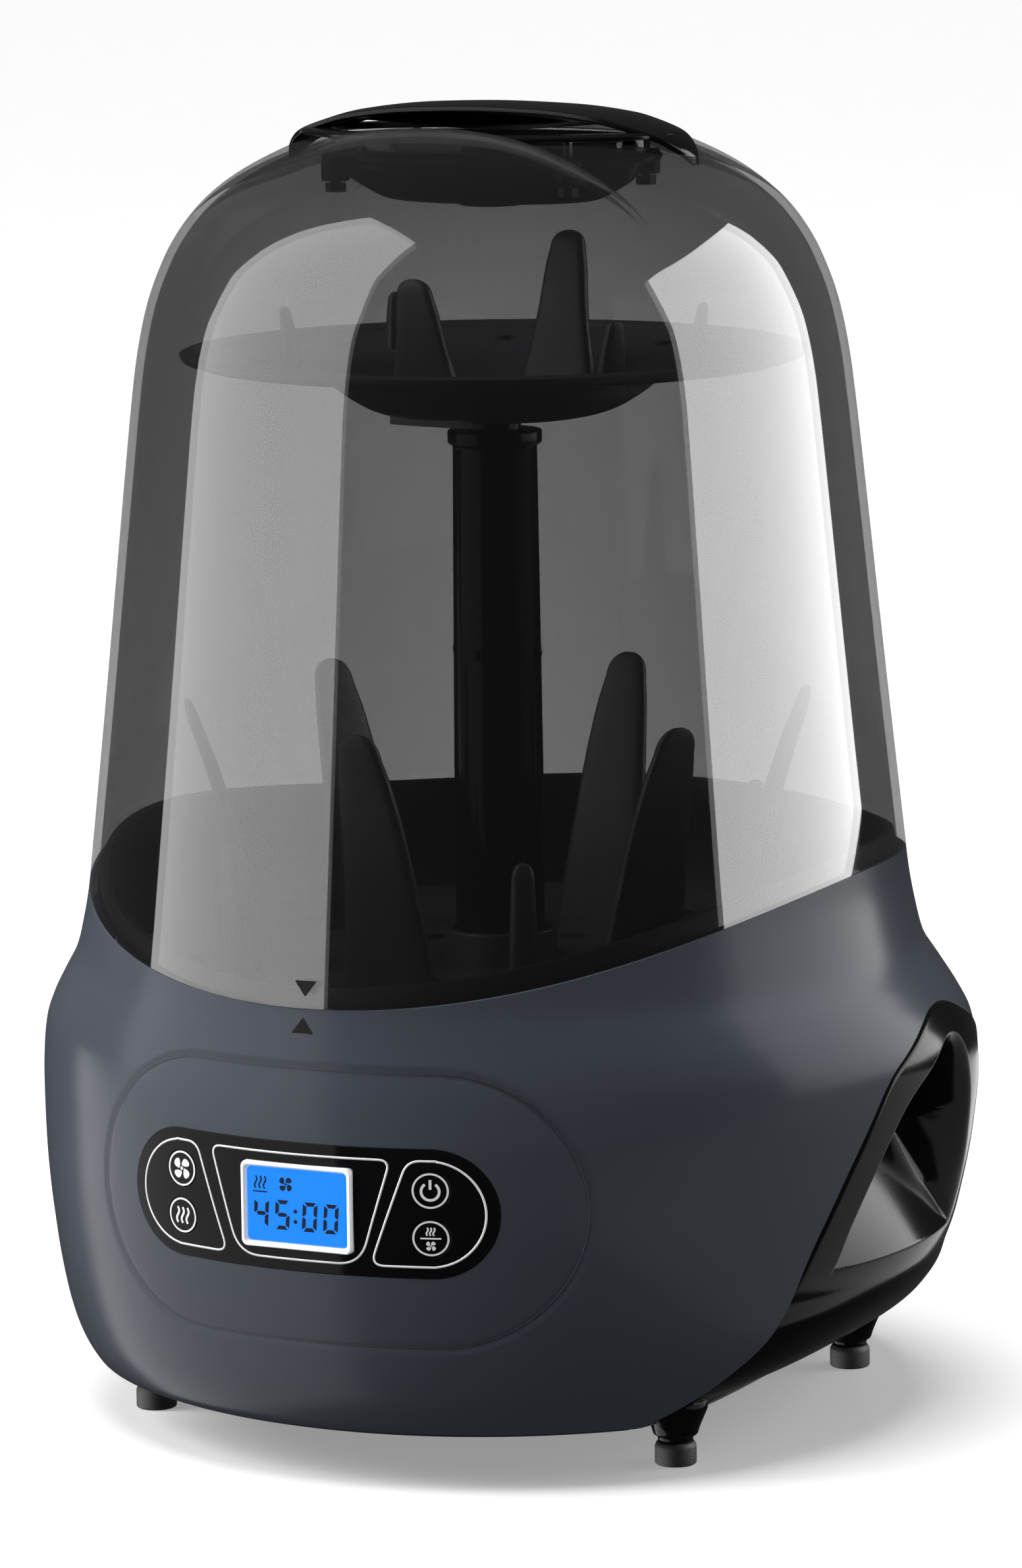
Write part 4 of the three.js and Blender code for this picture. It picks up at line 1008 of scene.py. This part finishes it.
LINE = 0.62
TOP, LOW = PANEL_Z + 15.4, PANEL_Z - 15.4
left_rim = arc(-39.6, PANEL_Z, 15.4, 100, 262, 50)
left_tip = rounded([(-41, LOW), (-23.6, LOW), (-34.2, TOP), (-42, TOP)], 4, 8)
right_rim = arc(39.6, PANEL_Z, 15.4, 82, -80, 50)
right_tip = rounded([(41, LOW), (22.6, LOW), (33.6, TOP), (42, TOP)], 4, 8)
fields = [
    np.concatenate([left_rim, left_tip]),
    np.concatenate([right_rim, right_tip]),
    rounded([(-28.8, TOP, 3.5), (28.8, TOP, 3.5), (19.6, LOW, 7), (-19.6, LOW, 7)], 4, 10, closed=True),
]
for path in fields:
    soup.add(*ribbon(resample(path, 220, closed=True), LINE, on_panel, closed=True), mat=1)
soup.build("control_panel", [PANEL, PRINT_WITH_PAINTED_GLOW], "base", "black_gloss", ["control_bezel"])


def fan_icon(cx, cz, size, place):
    """Four swirled blades about a hub."""
    t = around(26)
    u, v = 0.60 + 0.39 * np.cos(t), 0.20 + 0.32 * np.sin(t) * (1 + 0.45 * np.cos(t))
    u, v = u - 0.35 * v, v + 0.3 * (u - 0.4) ** 2
    shapes = []
    for a in np.radians([28, 118, 208, 298]):
        shapes.append(patch(np.stack([cx + size * (u * math.cos(a) - v * math.sin(a)),
                                      cz + size * (u * math.sin(a) + v * math.cos(a))], -1), place))
    return shapes + [patch(arc(cx, cz, size * 0.15, 0, 345, 20), place)]


def steam_icon(cx, cz, size, place, width):
    """Three wavy lines side by side."""
    s = np.linspace(-1, 1, 30)
    x, z = cx + size * 0.16 * np.sin(s * math.pi), cz + s * size * 0.78
    return [ribbon(np.stack([x + k * size * 0.62, z], -1), width, place) for k in (-1, 0, 1)]


def on_key(x, z, lift):
    return np.stack([x, front_y(x, z, 0.12) - lift, z], -1)


for node, (kx, kz, body) in KEYS.items():
    angles = around(60)
    rings = []
    for r, d in ((0.05, 0), (1.5, 0), (3, 0), (4.4, 0), (5.1, 0), (5.3, 0.06), (5.4, 0.25), (5.4, 1.2),
                 (5.4, 2.2)):
        rings.append(on_key(kx + r * np.cos(angles), kz + r * np.sin(angles), -d))
    soup = Soup().add(*loft(rings, caps=False))
    soup.add(*ribbon(arc(kx, kz, 4.85, 0, 354, 60), 0.55, on_key, closed=True), mat=1)
    if node == "key_fan":
        soup.draw(fan_icon(kx, kz, 3.5, on_key))
    elif node == "key_steam":
        soup.draw(steam_icon(kx, kz, 3.0, on_key, 0.72))
    elif node == "key_power":
        soup.draw([ribbon(arc(kx, kz - 0.2, 2.5, 125, 415, 40), 0.75, on_key),
                   ribbon([(kx, kz + 0.4), (kx, kz + 3.2)], 0.75, on_key)])
    else:
        soup.draw(steam_icon(kx, kz + 2.0, 1.5, on_key, 0.45))
        soup.draw([ribbon([(kx - 2.9, kz), (kx + 2.9, kz)], 0.45, on_key)])
        soup.draw(fan_icon(kx, kz - 2.2, 1.6, on_key))
    soup.build("cap_" + node, [PANEL, PRINT_WITH_PAINTED_GLOW], body, "black_gloss", [node], sharp=50)


# ---- Display: silver frame, blue glass, dark segments
def on_glass(x, z, lift):
    x, z = np.asarray(x, float), np.asarray(z, float)
    return np.stack([x, np.full(len(x), -135.02 - lift), z], -1)


def frame_loop(hx, hz, r, y, seg=9):
    corners = ((hx - r, hz - r, 0), (-hx + r, hz - r, 90), (-hx + r, -hz + r, 180), (hx - r, -hz + r, 270))
    p = np.concatenate([arc(cx, cz, r, a, a + 90, seg) for cx, cz, a in corners])
    return np.stack([p[:, 0], np.full(len(p), y), p[:, 1] + PANEL_Z], -1)


rings = [frame_loop(*row) for row in (
    (17.7, 12.5, 1.9, -133.3), (17.7, 12.5, 1.9, -135.3), (17.5, 12.3, 1.8, -135.55),
    (17.1, 11.9, 1.6, -135.6), (16.6, 11.4, 1.4, -135.5), (16.15, 10.95, 1.3, -135.1),
    (16.1, 10.9, 1.3, -133.3))]
soup = Soup().add(*loft(rings, ring=True))
soup.build("display_frame", SILVER_WITH_PAINTED_GLOW, "base", "silver_trim", ["lcd_frame"], sharp=60)

rings = [frame_loop(*row) for row in (
    (15.9, 10.7, 1.2, -129.6), (15.9, 10.7, 1.2, -134.8), (15.8, 10.6, 1.2, -134.95),
    (15.4, 10.2, 1.0, -135.0), (8, 5, 0.4, -135.0))]
soup = Soup().add(*loft(rings))
SEGMENTS = {"0": "abcdef", "4": "bcfg", "5": "acdfg"}


def digit(ch, x0, z0, w, h, t=1.15, lean=0.06):
    """Lit segments of one digit, w by h, with strokes t wide and g apart."""
    g = 0.22
    m = h / 2
    segs = {
        "a": [(g + t * .3, h), (w - g - t * .3, h), (w - t - g, h - t), (t + g, h - t)],
        "b": [(w, h - g - t * .3), (w, m + g), (w - t * .5, m + g), (w - t, m + g + t * .5),
              (w - t, h - t - g)],
        "c": [(w, m - g), (w, g + t * .3), (w - t, t + g), (w - t, m - g - t * .5), (w - t * .5, m - g)],
        "d": [(w - g - t * .3, 0), (g + t * .3, 0), (t + g, t), (w - t - g, t)],
        "e": [(0, g + t * .3), (0, m - g), (t * .5, m - g), (t, m - g - t * .5), (t, t + g)],
        "f": [(0, m + g), (0, h - g - t * .3), (t, h - t - g), (t, m + g + t * .5), (t * .5, m + g)],
        "g": [(t + g, m + t / 2), (w - t - g, m + t / 2), (w - t * .5 - g, m), (w - t - g, m - t / 2),
              (t + g, m - t / 2), (t * .5 + g, m)],
    }
    return [np.array([(x0 + x + lean * z, z0 + z) for x, z in segs[s]]) for s in SEGMENTS[ch]]


for ch, x0 in (("4", -14.0), ("5", -7.2), ("0", 1.6), ("0", 8.4)):
    soup.draw(patch(poly, on_glass, 0.04) for poly in digit(ch, x0, PANEL_Z - 7.0, 4.7, 8.6))
soup.draw(patch(arc(-0.4, PANEL_Z + dz, 0.6, 0, 340, 14), on_glass, 0.04) for dz in (-4.4, -1.4))
soup.draw(fan_icon(-3.4, PANEL_Z + 6.3, 2.4, on_glass))
soup.draw(steam_icon(-11.6, PANEL_Z + 6.3, 2.3, on_glass, 0.5))
soup.draw([ribbon([(-14.0, PANEL_Z + 3.6), (-9.4, PANEL_Z + 3.6)], 0.4, on_glass)])
soup.build("display_glass", [BLUE, DIGIT], "base", "blue_display", ["lcd_screen"], sharp=30)


# ---- Index triangles, printed on the cover and on the shell
def on_cover(x, z, lift):
    a = COVER_HALF - COVER_TAPER * (z - SEAM_Z)
    return np.stack([x, -a * DEPTH_RATIO * np.sqrt(1 - (x / a) ** 2) - lift, z], -1)


tri = rounded([(-2.5, 133.0), (4.5, 133.0), (1.0, 137.6)], 0.5, 4, closed=True)
make("index_mark_base", *patch(tri, on_shell, 0.05), MARK, "base", "black_gloss", flat=True)
tri = rounded([(-2.0, 148.0), (1.5, 143.4), (5.0, 148.0)], 0.5, 4, closed=True)[::-1]
make("index_mark_cover", *patch(tri, on_cover, 0.05), MARK, "cover", "black_gloss", flat=True)

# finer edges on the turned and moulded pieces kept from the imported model
for name in ("power_inlet", "thermostat", "blower_housing"):
    mod = NODES[name].modifiers.new("edge", "BEVEL")
    mod.width, mod.segments, mod.limit_method, mod.angle_limit = 0.0004, 2, "ANGLE", math.radians(40)



# ---- Floor, light and camera, in metres
def stage_floor():
    """A wide pale floor that neither shows in the gloss nor throws light back."""
    half = 30.0
    mesh = bpy.data.meshes.new("floor")
    corners = [(-half, -half, 0), (half, -half, 0), (half, half, 0), (-half, half, 0)]
    mesh.from_pydata(corners, [], [(0, 1, 2, 3)])
    o = bpy.data.objects.new("floor", mesh)
    bpy.context.scene.collection.objects.link(o)
    mesh.materials.append(plastic("floor_white", (0.86, 0.86, 0.86), 0.32, vary=0.005, level=0.2,
                                  rough_vary=0.02, emission=((1.0, 1.0, 1.0), 0.29)))
    o.visible_glossy = o.visible_diffuse = o.visible_shadow = False


stage_floor()

# white where the camera sees it, a soft fill on matte surfaces, and nearly dark in the gloss
world = bpy.data.worlds.new("studio")
bpy.context.scene.world = world
world.use_nodes = True
tree = world.node_tree
link = tree.links.new
tree.nodes.clear()
path = new_node(tree, "ShaderNodeLightPath")
soft = new_node(tree, "ShaderNodeMapRange", {3: 0.04, 4: 0.24})
most = new_node(tree, "ShaderNodeMath", operation="MAXIMUM")
sky = new_node(tree, "ShaderNodeBackground", {0: (1, 1, 1, 1)})
link(path.outputs["Is Diffuse Ray"], soft.inputs[0])
link(path.outputs["Is Camera Ray"], most.inputs[0])
link(soft.outputs[0], most.inputs[1])
link(most.outputs[0], sky.inputs[1])
link(sky.outputs[0], new_node(tree, "ShaderNodeOutputWorld").inputs[0])

CAM_AZ = math.radians(26.07)


def soft_light(name, azimuth, distance, low, high, width, radiance, target=None, diffuse=True, glossy=True):
    """Area light at an azimuth counted from the camera's side, positive to the right."""
    a = CAM_AZ + math.radians(azimuth)
    light = bpy.data.lights.new(name, "AREA")
    light.shape = "RECTANGLE"
    light.size, light.size_y = width, high - low
    light.energy = radiance * math.pi * width * (high - low)
    o = bpy.data.objects.new(name, light)
    bpy.context.scene.collection.objects.link(o)
    o.location = (distance * math.sin(a), -distance * math.cos(a), (low + high) / 2)
    aim = Vector((0, 0, (low + high) / 2) if target is None else target) - o.location
    o.rotation_euler = aim.to_track_quat("-Z", "Y").to_euler()
    o.visible_camera = False
    o.visible_diffuse = diffuse
    o.visible_glossy = glossy
    o.visible_transmission = False
    return o


# Reflection cards: the stripe on the cover's left, the sheen on the shell's left, the stripe on the
# cover's right and the grip's low glow. The soft key is on the left, a weaker one on the right, and the sun
# above.
soft_light("card_left", -75.5, 1.35, 0.0, 4.0, 1.65, 4.0, diffuse=False)
soft_light("low_left", -85, 1.35, -1.5, -0.02, 2.6, 3.0, diffuse=False)
soft_light("card_right", 95, 1.35, 0.08, 1.4, 1.5, 7.0, diffuse=False)
soft_light("key", -88, 2.2, 0.75, 2.25, 1.5, 9.3, target=(0, 0, 0.2), glossy=False)
soft_light("side", 100, 2.2, 0.7, 1.9, 1.2, 2.4, target=(0, 0, 0.2), glossy=False)
glow = soft_light("table_glow", 85, 1.0, -0.04, 1.56, 1.4, 1.2, diffuse=False)
glow.location.z = -0.03
glow.rotation_euler = (math.pi, 0, CAM_AZ + math.radians(85))
above = bpy.data.lights.new("above", "SUN")
above.energy, above.angle = 2.8, math.radians(38)
sun = bpy.data.objects.new("above", above)
bpy.context.scene.collection.objects.link(sun)
sun.rotation_euler = (math.radians(3), math.radians(-3), 0)
sun.visible_glossy = False

# the camera's place, worked out from the display's corners, the key icons and the seam's ellipse
DISTANCE, HEIGHT = 2.0471, 0.5085
PITCH, YAW, ROLL = (math.radians(a) for a in (8.97, -0.10, -0.71))
cam = bpy.data.cameras.new("camera")
cam.sensor_fit = "VERTICAL"
cam.sensor_height = 36.0
cam.lens = 158.475
cam.clip_end = 100
camera = bpy.data.objects.new("camera", cam)
bpy.context.scene.collection.objects.link(camera)
heading = CAM_AZ + YAW
ahead = Vector((-math.sin(heading) * math.cos(PITCH), math.cos(heading) * math.cos(PITCH), -math.sin(PITCH)))
right = Vector((math.cos(heading), math.sin(heading), 0))
up = right.cross(ahead)
place = Matrix((right * math.cos(ROLL) + up * math.sin(ROLL), up * math.cos(ROLL) - right * math.sin(ROLL),
                -ahead)).transposed().to_4x4()
place.translation = (DISTANCE * math.sin(CAM_AZ), -DISTANCE * math.cos(CAM_AZ), HEIGHT)
camera.matrix_world = place
bpy.context.scene.camera = camera
bpy.context.scene.view_settings.view_transform = "Standard"
